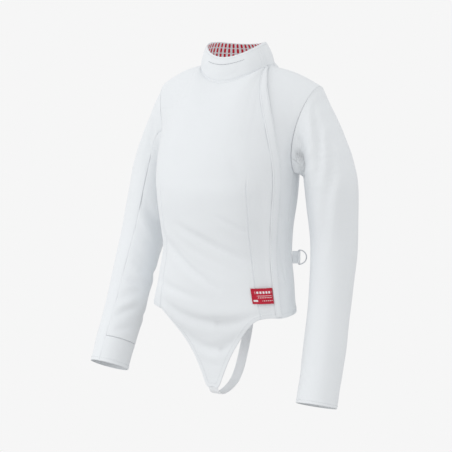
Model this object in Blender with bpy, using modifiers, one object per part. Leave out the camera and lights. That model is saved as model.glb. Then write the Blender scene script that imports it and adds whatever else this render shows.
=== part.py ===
# Women's fencing jacket, worn on a general figure and left hollow: cloth walls, collar,
# cuffs, front closure flap, hem label, crotch strap and a swinging D-ring.
# Metres, +Z up, front towards -Y, wearer's left towards +X, origin inside the neck opening.
import bpy
import bmesh
import numpy as np
from math import cos, pi, radians, sin

# --- driving dimensions ---
WALL = 0.0020            # cloth wall of the body and sleeves
COLLAR_WALL = 0.0016
LINING_WALL = 0.0010
SEAM_GAP = 0.0004        # clear space between two pieces that are sewn together
LAID_GAP = 0.0003        # clear space under a piece that lies on a panel
FACET_SAG = 0.0004       # how far a flat facet strays from the curved panel
EDGE_U = 0.9975          # outermost column of a body panel, just inside the side seam
TOP_V = 0.004            # first row of a body panel, just below the neck and shoulder seams

NECK_HALF_WIDTH = 0.075
NECK_HALF_DEPTH = 0.068
NECK_FRONT_Z = -0.030
NECK_BACK_Z = 0.014
RIM_HALF_WIDTH = 0.060
RIM_HALF_DEPTH = 0.0575
RIM_SHIFT = (-0.0030, -0.0010)  # the rim leans this much to the right and forwards
RIM_TOP_Z = 0.057
RIM_FRONT_DROP = 0.040   # how much lower the rim is at the throat
THROAT_TURN = 0.12       # the low place's turn towards the lapped side, radians
RIM_BACK_DROP = 0.016    # and at the nape
RIM_LEFT_RISE = 0.002    # how much higher it stands on the lapped side

SHOULDER_TIP = (0.178, 0.014, -0.038)
CHEST_Z = -0.205         # underarm height, where the armholes end
CLOSURE_U = 0.80         # closure edge, as a share of the front's half turn
DART_U = 0.47            # dart and neck corner, as a share of the front's half turn
TIP_U = 0.055            # half width of the tongue's end
SQUARENESS = 0.035       # how far a body section leans from an ellipse to a rounded box
SHOULDER_ARCH = 0.006    # how far the shoulder seam rises above a straight line
FRONT_ROUND = 0.030      # how far the cloth leads forwards from the neck seam
BACK_ROUND = 0.042       # and backwards
SHOULDER_ROUND = 0.022   # what the shoulder seam adds to either
CHEST_LEAD = 0.085       # length of the straight lead into the chest section
SIDE_LEAD_LOSS = 0.025   # how much shorter it is at the side
ARMHOLE_SCOOP = 0.034    # how far the armhole's lower end swings forwards and backwards
ARMHOLE_INSET = 0.010    # and inwards
CAP_START = 0.012        # sideways lead out of the armhole at its top and bottom
CAP_SPREAD = 0.155       # extra sideways lead for each metre that the cap drops
CAP_FALL = 0.50          # upward lead out of the arm for each metre that the cap drops
TIP_SPREAD_LOSS = 0.175  # how much less of each the cap has above the shoulder tip
TIP_FALL_LOSS = 0.17
TIP_DROP = 0.09          # and how much more it leads downwards there
CLOSURE_TURN_V = 1.15     # where the closure edge reaches CLOSURE_U
CLOSURE_GAP_U = 0.0015   # half the gap between the two fronts at the closure
UNDERARM_ROOM = 0.0010   # extra room between sleeve and body at the underarm

# sleeve seams: rows of v and of the share of the ring
RIGHT_FRONT_SEAM = ((0.0, 0.6, 1.3, 2.0), (0.33, 0.305, 0.280, 0.252))
RIGHT_BACK_SEAM = ((0.0, 1.0, 2.0), (0.70, 0.70, 0.70))
LEFT_FRONT_SEAM = ((0.0, 1.0, 2.0), (0.43, 0.44, 0.44))
LEFT_BACK_SEAM = ((0.0, 1.0, 2.0), (0.72, 0.72, 0.72))

CUFF_HEIGHT = 0.053
COLLAR_STARTS = 48.0     # degrees from the front towards the wearer's left
COLLAR_LAPS = 390.0      # where it begins to rise over its own start
COLLAR_ENDS = 437.0
COLLAR_BULGE = 0.0035    # how far the band swells between its two edges
COLLAR_TILT = 0.12       # how far its wall leans back from level
LINING_STARTS = 52.0
LINING_ENDS = 404.0
FLAP_WIDTH = 0.020
HALF_TURN_LENGTH = 0.215  # metres of cloth from the middle of the front to the side seam
FLAP_OVERLAP_U = 0.010   # how far the flap reaches past the closure
FLAP_THICKNESS = 0.0012
FLAP_TOP_V = 0.06
FLAP_END_V = 1.985
LABEL_U = (0.472, 0.706)
LABEL_TOP_Z = -0.425
LABEL_HEIGHT = 0.030
LABEL_THICKNESS = 0.0008
STRAP_WIDTH = 0.022
STRAP_THICKNESS = 0.0016
RING_WIRE = 0.0024       # diameter of the D-ring's wire
RING_BAR = 0.0286        # length of its straight bar, between wire centres
RING_REACH = 0.0158      # from the bar to the middle of the bow
RING_CORNER = 0.0012     # bend radius between bar and bow
BAR_OUT = 0.0142         # from the cloth to the ring's bar
LOOP_RADIUS = 0.0034     # outer radius of the webbing loop round the bar
LOOP_HOLE = 0.0021       # its inner radius
TAB_HALF_STEM = 0.0013   # half the thickness of the doubled webbing
TAB_FOOT = 0.0011        # where the tab starts, out from the cloth
TAB_WIDTH = 0.0250
TAB_Z = -0.380
TAB_TURN = 122.0         # degrees from the front towards the wearer's left

# body sections: height, middle of the side seam in Y, half width, depth forwards, depth backwards
BODY = np.array([
    # z       y_mid    half_w  front   back
    (-0.205, -0.031, 0.1460, 0.1320, 0.1040),
    (-0.240, -0.033, 0.1445, 0.1350, 0.1040),
    (-0.300, -0.036, 0.1390, 0.1240, 0.0980),
    (-0.360, -0.038, 0.1350, 0.1080, 0.0930),
    (-0.420, -0.048, 0.1430, 0.0930, 0.1040),
    (-0.480, -0.062, 0.1545, 0.0680, 0.1180),
    (-0.540, -0.064, 0.1570, 0.0420, 0.1200),
    (-0.600, -0.065, 0.1570, 0.0330, 0.1200),
    (-0.650, -0.065, 0.1570, 0.0320, 0.1200),
])

# lower edge of the front: share of the half turn, height
HEM = np.array([
    (0.000, -0.637), (0.055, -0.637), (0.110, -0.606), (0.176, -0.572), (0.291, -0.531),
    (0.387, -0.506), (0.470, -0.491), (0.560, -0.486), (0.800, -0.485), (1.000, -0.484),
])
BACK_HEM_Z = -0.484

# sleeve sections below the cap: height, x, y, half width, half depth
LEFT_ARM = np.array([
    (-0.245, 0.2115, 0.0040, 0.0510, 0.0540),
    (-0.345, 0.2180, 0.0030, 0.0458, 0.0480),
    (-0.445, 0.2190, -0.0120, 0.0420, 0.0440),
    (-0.545, 0.2210, -0.0385, 0.0415, 0.0425),
    (-0.600, 0.2225, -0.0570, 0.0405, 0.0415),
    (-0.651, 0.2235, -0.0750, 0.0398, 0.0405),
])
RIGHT_ARM = np.array([
    (-0.245, -0.2050, 0.0040, 0.0480, 0.0540),
    (-0.345, -0.2155, -0.0200, 0.0455, 0.0480),
    (-0.426, -0.2195, -0.0530, 0.0425, 0.0445),
    (-0.500, -0.2210, -0.0840, 0.0415, 0.0430),
    (-0.556, -0.2220, -0.1120, 0.0405, 0.0415),
    (-0.612, -0.2235, -0.1380, 0.0392, 0.0400),
])


def curve_through(x, xs, ys):
    """Smooth curve through (xs, ys): cubic Hermite with mean slopes, flat beyond the ends."""
    xs = np.asarray(xs, dtype=float)
    ys = np.asarray(ys, dtype=float)
    steps = np.diff(ys) / np.diff(xs)
    slopes = np.concatenate(([steps[0]], (steps[:-1] + steps[1:]) / 2, [steps[-1]]))
    x = np.clip(x, xs[0], xs[-1])
    k = np.clip(np.searchsorted(xs, x, side="right") - 1, 0, len(xs) - 2)
    width = xs[k + 1] - xs[k]
    t = (x - xs[k]) / width
    return ((2 * t**3 - 3 * t**2 + 1) * ys[k] + (t**3 - 2 * t**2 + t) * width * slopes[k]
            + (3 * t**2 - 2 * t**3) * ys[k + 1] + (t**3 - t**2) * width * slopes[k + 1])


def ease(t):
    """Smooth step from 0 to 1."""
    t = np.clip(t, 0.0, 1.0)
    return t * t * (3 - 2 * t)


def unit(vectors):
    return vectors / np.linalg.norm(vectors, axis=-1, keepdims=True)


def points(x, y, z):
    x, y, z = np.broadcast_arrays(x, y, z)
    return np.stack((x, y, z), axis=-1).astype(float)


def bezier(p0, p1, p2, p3, t):
    t = t[..., None]
    return (1 - t)**3 * p0 + 3 * t * (1 - t)**2 * p1 + 3 * t**2 * (1 - t) * p2 + t**3 * p3


# --- body surface ---
def body_section(turn, z):
    """A point of the body at a turn (radians from the front, left positive) and a height."""
    y_mid, half_w, front, back = (curve_through(-z, -BODY[:, 0], BODY[:, k]) for k in (1, 2, 3, 4))
    depth = np.where(np.cos(turn) > 0, front, back)
    swell = 1 + SQUARENESS * np.sin(2 * turn)**2
    return points(half_w * np.sin(turn) * swell, y_mid - depth * np.cos(turn) * swell, z)


def neckline(turn):
    """The seam between body and collar: an ellipse that dips at the throat."""
    dip = np.where(np.cos(turn) > 0, NECK_FRONT_Z, NECK_BACK_Z)
    return points(NECK_HALF_WIDTH * np.sin(turn), -NECK_HALF_DEPTH * np.cos(turn),
                  dip * np.cos(turn)**2)


def top_line(u, facing):
    """Neckline, then shoulder seam: u runs from the middle (0) to the shoulder tip (1)."""
    along = np.abs(u)
    side = np.sign(u) + (u == 0)
    turn = pi / 2 * np.clip(along / DART_U, 0, 1)
    neck = neckline(turn if facing < 0 else pi - turn)
    reach = np.clip((along - DART_U) / (1 - DART_U), 0, 1.1)[..., None]
    seam = reach * (np.array(SHOULDER_TIP) - np.array((NECK_HALF_WIDTH, 0.0, 0.0)))
    seam[..., 2] += SHOULDER_ARCH * np.sin(pi * reach[..., 0])
    line = neck + seam
    line[..., 0] *= side
    return line


def body(u, v, facing):
    """Front (facing -1) or back (+1): u across, v from 0 at the top over 1 at the underarm to 2
    at the hem. The upper part is a Bezier arc from the top line to the chest section."""
    turn = u * pi / 2
    if facing > 0:
        turn = pi - turn
    along = np.abs(u)
    top = top_line(u, facing)
    chest = body_section(turn, np.full_like(u, CHEST_Z))
    below = body_section(turn, np.full_like(u, CHEST_Z - 0.01))
    fall = (chest - below) / 0.01
    shoulder = ease(along / DART_U)
    roundness = FRONT_ROUND if facing < 0 else BACK_ROUND
    lead_y = facing * (roundness + SHOULDER_ROUND * shoulder)
    lead_z = -0.030 * (1 - shoulder) - 0.004
    first = top + points(0.0 * u, lead_y, lead_z)
    side_dip = ease((along - 0.75) / 0.25)[..., None]
    lift = (CHEST_LEAD - SIDE_LEAD_LOSS * side_dip) * fall
    lift[..., 1] += side_dip[..., 0] * facing * ARMHOLE_SCOOP
    lift[..., 0] -= side_dip[..., 0] * np.sign(u) * ARMHOLE_INSET
    upper = bezier(top, first, chest + lift, chest, np.clip(v, 0, 1))
    hem_z = curve_through(along, HEM[:, 0], HEM[:, 1]) if facing < 0 else np.full_like(u, BACK_HEM_Z)
    z = CHEST_Z + np.clip(v - 1, 0, 1.2) * (hem_z - CHEST_Z)
    lower = body_section(turn, z)
    return np.where((v <= 1)[..., None], upper, lower)


def closure(v):
    """Where the closure edge runs: from the neck's corner at the top to CLOSURE_U."""
    return DART_U + (CLOSURE_U - DART_U) * ease(v / CLOSURE_TURN_V)


# --- sleeve surface ---
def armhole(side, ring):
    """A point of the armhole: ring 0 at the shoulder tip, 0.25 front, 0.5 underarm, 0.75 back."""
    ring = np.mod(ring, 1.0)
    down = np.where(ring <= 0.5, ring * 2, 2 - ring * 2)
    edge = np.full_like(down, float(side))
    return np.where((ring <= 0.5)[..., None], body(edge, down, -1), body(edge, down, 1))


def arm_frame(side, v):
    """Middle, outward and forward axes and half sizes of the sleeve tube, v from 1 to 2."""
    arm = LEFT_ARM if side > 0 else RIGHT_ARM
    share = np.linspace(1, 2, len(arm))
    middle = points(*(curve_through(v, share, arm[:, k]) for k in (1, 2, 0)))
    ahead = points(*(curve_through(v + 0.02, share, arm[:, k]) for k in (1, 2, 0)))
    behind = points(*(curve_through(v - 0.02, share, arm[:, k]) for k in (1, 2, 0)))
    axis = unit(ahead - behind)
    forward = unit(np.cross(axis, np.broadcast_to((1.0, 0.0, 0.0), axis.shape)))
    forward *= -np.sign(forward[..., 1:2])
    outward = unit(np.cross(forward, axis))
    outward *= np.sign(outward[..., 0:1]) * side
    return (middle, outward, forward,
            curve_through(v, share, arm[:, 3]), curve_through(v, share, arm[:, 4]))


def tube(side, ring, v):
    middle, outward, forward, half_w, half_d = arm_frame(side, v)
    angle = 2 * pi * ring
    return (middle + (half_w * np.cos(angle))[..., None] * outward
            + (half_d * np.sin(angle))[..., None] * forward)


def sleeve(side, ring, v):
    """Sleeve: v from 0 at the armhole over 1 below the cap to 2 at the hem. The cap is a Bezier
    arc that leaves the armhole sideways and arrives along the arm."""
    start = armhole(side, ring)
    one = np.ones_like(v)
    end = tube(side, ring, one)
    fall = unit(end - tube(side, ring, one * 1.02))
    height = np.abs(start[..., 2] - end[..., 2])
    tip = (1 + np.cos(2 * pi * ring)) / 2
    lead = points(side * (CAP_START + (CAP_SPREAD - TIP_SPREAD_LOSS * tip) * height), 0.0 * ring,
                  -0.002 - (0.03 + TIP_DROP * tip) * height)
    rise = fall * (CAP_START + (CAP_FALL - TIP_FALL_LOSS * tip) * height)[..., None]
    cap = bezier(start, start + lead, end + rise, end, np.clip(v, 0, 1))
    return np.where((v <= 1)[..., None], cap, tube(side, ring, np.clip(v, 1, 2.2)))


# --- collar surface ---
def collar_band(turn, share, lift, inset):
    """Collar point at a turn: share 0 at the neckline, 1 at the rim, moved in by inset."""
    base = neckline(turn)
    throat = ((1 + np.cos(turn - THROAT_TURN)) / 2)**2.4
    nape = ((1 - np.cos(turn)) / 2)**1.5
    rim = points(RIM_HALF_WIDTH * np.sin(turn) + RIM_SHIFT[0], RIM_SHIFT[1] - RIM_HALF_DEPTH * np.cos(turn),
                 RIM_TOP_Z - RIM_FRONT_DROP * throat - RIM_BACK_DROP * nape
                 + RIM_LEFT_RISE * np.sin(turn))
    start = base + points(0 * turn, 0 * turn, 0 * turn + lift)
    out = points(np.sin(turn), -np.cos(turn), 0 * turn)
    swell = COLLAR_BULGE * np.sin(pi * share) - np.asarray(inset)
    return start + (rim - start) * share[..., None] + out * swell[..., None]


# --- mesh helpers ---
def material(name, colour, roughness, metallic=0.0):
    finish = bpy.data.materials.new(name)
    finish.use_nodes = True
    shader = finish.node_tree.nodes["Principled BSDF"]
    shader.inputs["Base Color"].default_value = (*colour, 1.0)
    shader.inputs["Roughness"].default_value = roughness
    shader.inputs["Metallic"].default_value = metallic
    return finish


def add_object(name, mesh, finish, collection):
    mesh.materials.append(finish)
    piece = bpy.data.objects.new(name, mesh)
    collection.objects.link(piece)
    return piece


def grid_faces(rows, columns, first=0):
    corner = first + (np.arange(rows - 1)[:, None] * columns + np.arange(columns - 1))
    return np.stack((corner, corner + 1, corner + columns + 1, corner + columns), -1).reshape(-1, 4)


def surface_normals(surface, u, v):
    """Unit normals of a two-parameter surface, from small steps both ways."""
    step = 0.004
    across = surface(u + step, v) - surface(u - step, v)
    down = surface(u, v + step) - surface(u, np.maximum(v - step, 0))
    return unit(np.cross(across, down))


def cloth_wall(name, outer, normals, thickness, finish, collection):
    """A closed wall lofted between an outer grid and the same grid moved in along normals.
    Neighbours that share a seam are given the same normals there, so their walls meet edge to
    edge, which a solidified single panel can't do."""
    rows, columns = outer.shape[:2]
    inner = outer - normals * thickness
    vertices = np.concatenate((outer.reshape(-1, 3), inner.reshape(-1, 3)))
    count = rows * columns
    index = np.arange(count).reshape(rows, columns)
    border = np.concatenate((index[0, :-1], index[:-1, -1], index[-1, :0:-1], index[:0:-1, 0]))
    following = np.roll(border, -1)
    rim = np.stack((border, border + count, following + count, following), -1)
    faces = np.concatenate((grid_faces(rows, columns)[:, ::-1], grid_faces(rows, columns, count), rim))
    mesh = bpy.data.meshes.new(name)
    mesh.from_pydata(vertices.tolist(), [], faces.tolist())
    shape = bmesh.new()
    shape.from_mesh(mesh)
    bmesh.ops.recalc_face_normals(shape, faces=shape.faces)
    shape.to_mesh(mesh)
    shape.free()
    mesh.shade_smooth()
    mesh.set_sharp_from_angle(angle=radians(60))
    add_object(name, mesh, finish, collection)


def laid_piece(name, outer, normals, lift, thickness, finish, collection):
    """A flat trim that lies on a panel: an open grid lifted off the panel, with Solidify."""
    lifted = outer + normals * np.asarray(lift)[..., None]
    rows, columns = outer.shape[:2]
    mesh = bpy.data.meshes.new(name)
    mesh.from_pydata(lifted.reshape(-1, 3).tolist(), [], grid_faces(rows, columns)[:, ::-1].tolist())
    piece = add_object(name, mesh, finish, collection)
    solid = piece.modifiers.new("Thickness", "SOLIDIFY")
    solid.thickness = thickness
    solid.offset = 1.0


def seam_normal(side, ring):
    """Shared direction of the two walls that meet at the armhole."""
    middle = armhole(side, np.array([0.0, 0.25, 0.5, 0.75])).mean(axis=0)
    away = armhole(side, ring) - middle
    away[..., 0] = 0
    away = unit(away)
    under = (1 - np.cos(2 * pi * ring)) / 2
    away[..., 0] += side * (0.25 + 0.55 * under)
    return unit(away)


# --- body panels ---
def body_panel(name, facing, u, v, finish, collection):
    """A panel on the body surface, from grids of u and v."""
    outer = body(u, v, facing)
    normals = surface_normals(lambda a, b: body(a, b, facing), u, v)
    outward = np.array((0.0, facing, 0.15))
    flip = np.sign((normals * outward).sum(-1).mean())
    normals *= flip
    shoulder = (np.abs(u) > DART_U) & (v < 0.02)
    tilt = points(0.24 * np.sign(u), 0 * u, 1 + 0 * u)
    normals[shoulder] = unit(tilt)[shoulder]
    arm = (np.abs(u) > 0.99) & (v >= 0.02) & (v <= 1.001)
    ring = np.where(facing < 0, v / 2, 1 - v / 2)
    for side in (-1, 1):
        here = arm & (np.sign(u) == side)
        if here.any():
            normals[here] = seam_normal(side, ring[here])
    below = (np.abs(u) > 0.99) & (v > 1.001)
    normals[below] = points(np.sign(u), 0 * u, 0 * u)[below]
    cloth_wall(name, outer, unit(normals), WALL, finish, collection)


def rows_down(above, under):
    """Row parameters: `above` rows over the underarm and `under` rows below it."""
    return np.concatenate((np.linspace(TOP_V, 1, above), np.linspace(1, 2, under + 1)[1:]))


def body_pieces(cloth, collection):
    v_line = rows_down(9, 13)
    right = -np.concatenate((np.linspace(EDGE_U, DART_U, 7), np.linspace(DART_U, TIP_U, 7)[1:]))
    left = np.concatenate((np.linspace(TIP_U, DART_U, 7), np.linspace(DART_U, CLOSURE_U, 5)[1:]))
    u_line = np.concatenate((right, (0.0,), left))
    u, v = np.meshgrid(u_line, v_line)
    shift = (closure(v) - CLOSURE_GAP_U) / CLOSURE_U
    body_panel("front_main", -1, np.where(u > 0, u * shift, u), v, cloth, collection)
    share, v = np.meshgrid(np.linspace(0, 1, 6), v_line)
    start = closure(v) + CLOSURE_GAP_U
    body_panel("front_left", -1, start + (EDGE_U - start) * share, v, cloth, collection)
    u_back = np.concatenate((-np.linspace(EDGE_U, DART_U, 6), np.linspace(-DART_U, DART_U, 9)[1:-1],
                             np.linspace(DART_U, EDGE_U, 6)))
    u, v = np.meshgrid(u_back, v_line)
    body_panel("back", 1, u, v, cloth, collection)


# --- sleeves ---
def sleeve_panel(name, side, ring, v, finish, collection):
    outer = sleeve(side, ring, v)
    under = (1 - np.cos(2 * pi * ring)) / 2 * (v < 0.01)
    outer[..., 0] += side * (SEAM_GAP + UNDERARM_ROOM * under)
    normals = surface_normals(lambda a, b: sleeve(side, a, b), ring, v)
    middle = arm_frame(side, np.full_like(v, 1.5))[0]
    lower = v > 1
    flip = np.sign(((outer - middle) * normals)[lower].sum(-1).mean())
    normals *= flip
    first = v < 0.01
    normals[first] = seam_normal(side, ring[first])
    cloth_wall(name, outer, unit(normals), WALL, finish, collection)


def sleeve_pieces(side, front_seam, back_seam, cloth, collection):
    """Outer panel, inner panel and the inner panel's cuff band, between the two seams."""
    word = "left" if side > 0 else "right"
    arm = LEFT_ARM if side > 0 else RIGHT_ARM
    last_stretch = np.linalg.norm(arm[-1, :3] - arm[-2, :3])
    cuff_v = 2 - CUFF_HEIGHT / last_stretch / (len(arm) - 1)
    v_line = np.concatenate((np.linspace(0, 1, 7), np.linspace(1, 2, 13)[1:]))
    v_line[-3] = cuff_v
    v_line[-2] = (cuff_v + 2) / 2
    gap = SEAM_GAP / 2 / 0.20

    def panel(name, low, high, columns, v_rows):
        share, v = np.meshgrid(np.linspace(0, 1, columns), v_rows)
        start = curve_through(v, *low) + gap
        stop = curve_through(v, *high) - gap
        sleeve_panel(name, side, start + (stop - start) * share, v, cloth, collection)

    around = (back_seam[0], np.array(back_seam[1]) - 1)
    panel(f"sleeve_{word}_outer", around, front_seam, 11, v_line)
    short = v_line[:-2].copy()
    short[-1] = cuff_v - SEAM_GAP / last_stretch / (len(arm) - 1)
    panel(f"sleeve_{word}_inner", front_seam, back_seam, 9, short)
    panel(f"cuff_{word}", front_seam, back_seam, 9, np.array((cuff_v, (cuff_v + 2) / 2, 2.0)))


# --- collar ---
def collar_normals(turn):
    return unit(points(np.sin(turn), -np.cos(turn), COLLAR_TILT + 0 * turn))


def collar_pieces(cloth, lining, collection):
    """The collar wraps once round and laps over its own end on the wearer's left."""
    columns = np.radians(np.linspace(COLLAR_STARTS, COLLAR_ENDS, 44))
    turn, share = np.meshgrid(columns, np.linspace(0, 1, 6))
    lap = ease((turn - radians(COLLAR_LAPS)) / radians(20))
    outer = collar_band(turn, share, SEAM_GAP + 0.0009, -lap * (COLLAR_WALL + 2 * LAID_GAP))
    cloth_wall("collar", outer, collar_normals(turn), COLLAR_WALL, cloth, collection)
    columns = np.radians(np.linspace(LINING_STARTS, LINING_ENDS, 40))
    turn, share = np.meshgrid(columns, np.linspace(0, 1, 6))
    outer = collar_band(turn, share, SEAM_GAP + 0.0011, COLLAR_WALL + 3 * LAID_GAP)
    cloth_wall("collar_lining", outer, collar_normals(turn), LINING_WALL, lining, collection)


# --- trims ---
def flap_piece(cloth, collection):
    """The closure flap: a 20 mm strip along the closure edge, lapping 3 mm over the left front."""
    v_line = np.concatenate((np.linspace(FLAP_TOP_V, 1, 12), np.linspace(1, FLAP_END_V, 15)[1:]))
    share, v = np.meshgrid(np.array((0.0, 0.5, 1.0)), v_line)
    half_turn = HALF_TURN_LENGTH / (0.55 + 0.45 * ease(v / 0.5))
    u = closure(v) + FLAP_OVERLAP_U + (share - 1) * FLAP_WIDTH / half_turn
    normals = surface_normals(lambda a, b: body(a, b, -1), u, v)
    normals *= -np.sign(normals[..., 1].mean())
    lift = 0.0002 + LAID_GAP + FACET_SAG * (1 + 3 * (1 - ease(v / 0.5)))
    laid_piece("placket_flap", body(u, v, -1), normals, lift, FLAP_THICKNESS, cloth, collection)


def label_piece(finish, collection):
    """The woven label, wrapped across the left dart just above the hem."""
    u, v = np.meshgrid(np.linspace(*LABEL_U, 7), np.array((0.0, 0.5, 1.0)))
    z = LABEL_TOP_Z - LABEL_HEIGHT * v
    outer = body_section(u * pi / 2, z)
    step = 0.01
    normals = np.cross(body_section((u + step) * pi / 2, z) - outer,
                       body_section(u * pi / 2, z - step) - outer)
    normals = -unit(normals) * np.sign(normals[..., 1].mean())
    lift = np.full_like(u, LAID_GAP + FACET_SAG)
    laid_piece("hem_label", outer, normals, lift, LABEL_THICKNESS, finish, collection)


def strip_along(name, path, width, thickness, finish, collection):
    """A webbing strip: the path in the YZ plane swept sideways, with Solidify."""
    half = np.array((-width / 2, width / 2))
    grid = points(half[None, :], path[:, 0:1], path[:, 1:2])
    mesh = bpy.data.meshes.new(name)
    mesh.from_pydata(grid.reshape(-1, 3).tolist(), [], grid_faces(len(path), 2).tolist())
    piece = add_object(name, mesh, finish, collection)
    solid = piece.modifiers.new("Thickness", "SOLIDIFY")
    solid.thickness = thickness
    solid.offset = 0.0


def strap_pieces(webbing, collection):
    """The elastic crotch strap from behind the tongue's end to the inside of the back hem."""
    tip_y = float(body_section(np.array(0.0), np.array(-0.638))[1])
    back_y = float(body_section(np.array(pi), np.array(BACK_HEM_Z))[1])
    behind_front = WALL + LAID_GAP + STRAP_THICKNESS / 2 + 0.0006
    route = np.array([
        # y                       z
        (tip_y + behind_front + 0.0075, -0.6180),
        (tip_y + behind_front, -0.6380),
        (tip_y + 0.0130, -0.6520),
        (tip_y + 0.0420, -0.6560),
        (tip_y + 0.0900, -0.6380),
        (back_y - 0.0260, -0.5750),
        (back_y - 0.0075, -0.5150),
        (back_y - behind_front - 0.0010, -0.4860),
        (back_y - behind_front - 0.0028, -0.4650),
    ])
    length = np.concatenate(((0.0,), np.cumsum(np.linalg.norm(np.diff(route, axis=0), axis=1))))
    along = np.linspace(0, length[-1], 31)
    path = np.stack((curve_through(along, length, route[:, 0]),
                     curve_through(along, length, route[:, 1])), -1)
    strip_along("crotch_strap", path, STRAP_WIDTH, STRAP_THICKNESS, webbing, collection)


def ring_place():
    """Where the ring's tab leaves the body: the point on the cloth and its outward direction."""
    turn = np.array(radians(TAB_TURN))
    foot = body_section(turn, np.array(TAB_Z))
    along = body_section(turn + 0.01, np.array(TAB_Z)) - body_section(turn - 0.01, np.array(TAB_Z))
    out = unit(np.array((along[1], -along[0], 0.0)))
    if out[0] < 0:
        out = -out
    return foot, out


def tab_piece(webbing, collection):
    """Webbing folded round the ring's bar: a flat outline with a hole, extruded to its width."""
    foot, out = ring_place()
    joint = np.arcsin(TAB_HALF_STEM / LOOP_RADIUS)
    bow = np.linspace(-pi + joint, pi - joint, 17)
    outline = [(TAB_FOOT, -TAB_HALF_STEM)]
    outline += [(BAR_OUT + LOOP_RADIUS * cos(a), LOOP_RADIUS * sin(a)) for a in bow]
    outline += [(TAB_FOOT, TAB_HALF_STEM)]
    hole = [(BAR_OUT + LOOP_HOLE * cos(a), LOOP_HOLE * sin(a)) for a in np.linspace(0, 2 * pi, 13)[:-1]]
    curve = bpy.data.curves.new("ring_tab", "CURVE")
    curve.dimensions = "2D"
    curve.fill_mode = "BOTH"
    curve.extrude = TAB_WIDTH / 2
    for loop in (outline, hole):
        spline = curve.splines.new("POLY")
        spline.points.add(len(loop) - 1)
        for point, (x, y) in zip(spline.points, loop):
            point.co = (x, y, 0.0, 1.0)
        spline.use_cyclic_u = True
    curve.materials.append(webbing)
    tab = bpy.data.objects.new("ring_tab", curve)
    collection.objects.link(tab)
    tab.location = foot
    tab.rotation_euler.z = float(np.arctan2(out[1], out[0]))


def ring_piece(metal, collection):
    """The D-ring: a round wire bent to a straight bar and a bow, its origin on the bar."""
    foot, out = ring_place()
    half = RING_BAR / 2
    reach = RING_REACH - RING_CORNER
    bend = [RING_CORNER * (1 - cos(a)) for a in (pi / 6, pi / 3, pi / 2)]
    rise = [half - RING_CORNER + RING_CORNER * sin(a) for a in (pi / 6, pi / 3, pi / 2)]
    path = [(0.0, -half + RING_CORNER), (0.0, half - RING_CORNER)]
    path += list(zip(bend, rise))
    path += [(RING_CORNER + reach * sin(a), half * cos(a)) for a in np.linspace(0, pi, 15)[1:-1]]
    path += [(x, -z) for x, z in reversed(list(zip(bend, rise)))]
    curve = bpy.data.curves.new("d_ring", "CURVE")
    curve.dimensions = "3D"
    curve.bevel_depth = RING_WIRE / 2
    curve.bevel_resolution = 2
    spline = curve.splines.new("POLY")
    spline.points.add(len(path) - 1)
    for point, (x, z) in zip(spline.points, path):
        point.co = (x, 0.0, z, 1.0)
    spline.use_cyclic_u = True
    curve.materials.append(metal)
    ring = bpy.data.objects.new("d_ring", curve)
    collection.objects.link(ring)
    ring.location = foot + out * BAR_OUT
    ring.rotation_euler.z = float(np.arctan2(out[1], out[0]))


def main():
    for old in list(bpy.data.objects):
        bpy.data.objects.remove(old, do_unlink=True)
    jacket = bpy.data.collections.new("fencing_jacket")
    bpy.context.scene.collection.children.link(jacket)
    cloth = material("white_cloth", (0.86, 0.88, 0.90), 0.85)
    lining = material("collar_lining", (0.80, 0.62, 0.64), 0.85)
    red = material("red_label", (0.62, 0.03, 0.07), 0.70)
    webbing = material("white_webbing", (0.84, 0.85, 0.87), 0.75)
    metal = material("ring_metal", (0.72, 0.73, 0.75), 0.28, 1.0)
    body_pieces(cloth, jacket)
    sleeve_pieces(-1, RIGHT_FRONT_SEAM, RIGHT_BACK_SEAM, cloth, jacket)
    sleeve_pieces(1, LEFT_FRONT_SEAM, LEFT_BACK_SEAM, cloth, jacket)
    collar_pieces(cloth, lining, jacket)
    flap_piece(cloth, jacket)
    label_piece(red, jacket)
    strap_pieces(webbing, jacket)
    tab_piece(webbing, jacket)
    ring_piece(metal, jacket)


main()
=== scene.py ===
import bpy
import bmesh
import numpy as np
from math import cos, pi, radians, sin
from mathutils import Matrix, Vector


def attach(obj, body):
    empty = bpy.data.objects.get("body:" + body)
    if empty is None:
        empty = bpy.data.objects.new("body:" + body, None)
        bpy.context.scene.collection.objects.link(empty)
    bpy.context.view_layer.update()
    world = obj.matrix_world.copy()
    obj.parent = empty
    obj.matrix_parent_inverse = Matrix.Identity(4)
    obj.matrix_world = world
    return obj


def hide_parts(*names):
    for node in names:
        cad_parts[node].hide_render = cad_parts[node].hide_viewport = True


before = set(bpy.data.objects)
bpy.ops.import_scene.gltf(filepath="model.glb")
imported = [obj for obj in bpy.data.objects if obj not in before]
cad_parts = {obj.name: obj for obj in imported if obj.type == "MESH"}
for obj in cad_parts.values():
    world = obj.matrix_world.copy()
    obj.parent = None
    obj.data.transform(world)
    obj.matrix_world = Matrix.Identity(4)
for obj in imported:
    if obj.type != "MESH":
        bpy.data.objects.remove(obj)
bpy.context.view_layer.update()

print("frame loaded:", len(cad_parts), "nodes")

# the garment's form, the same sizes as its solids, in metres

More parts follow.
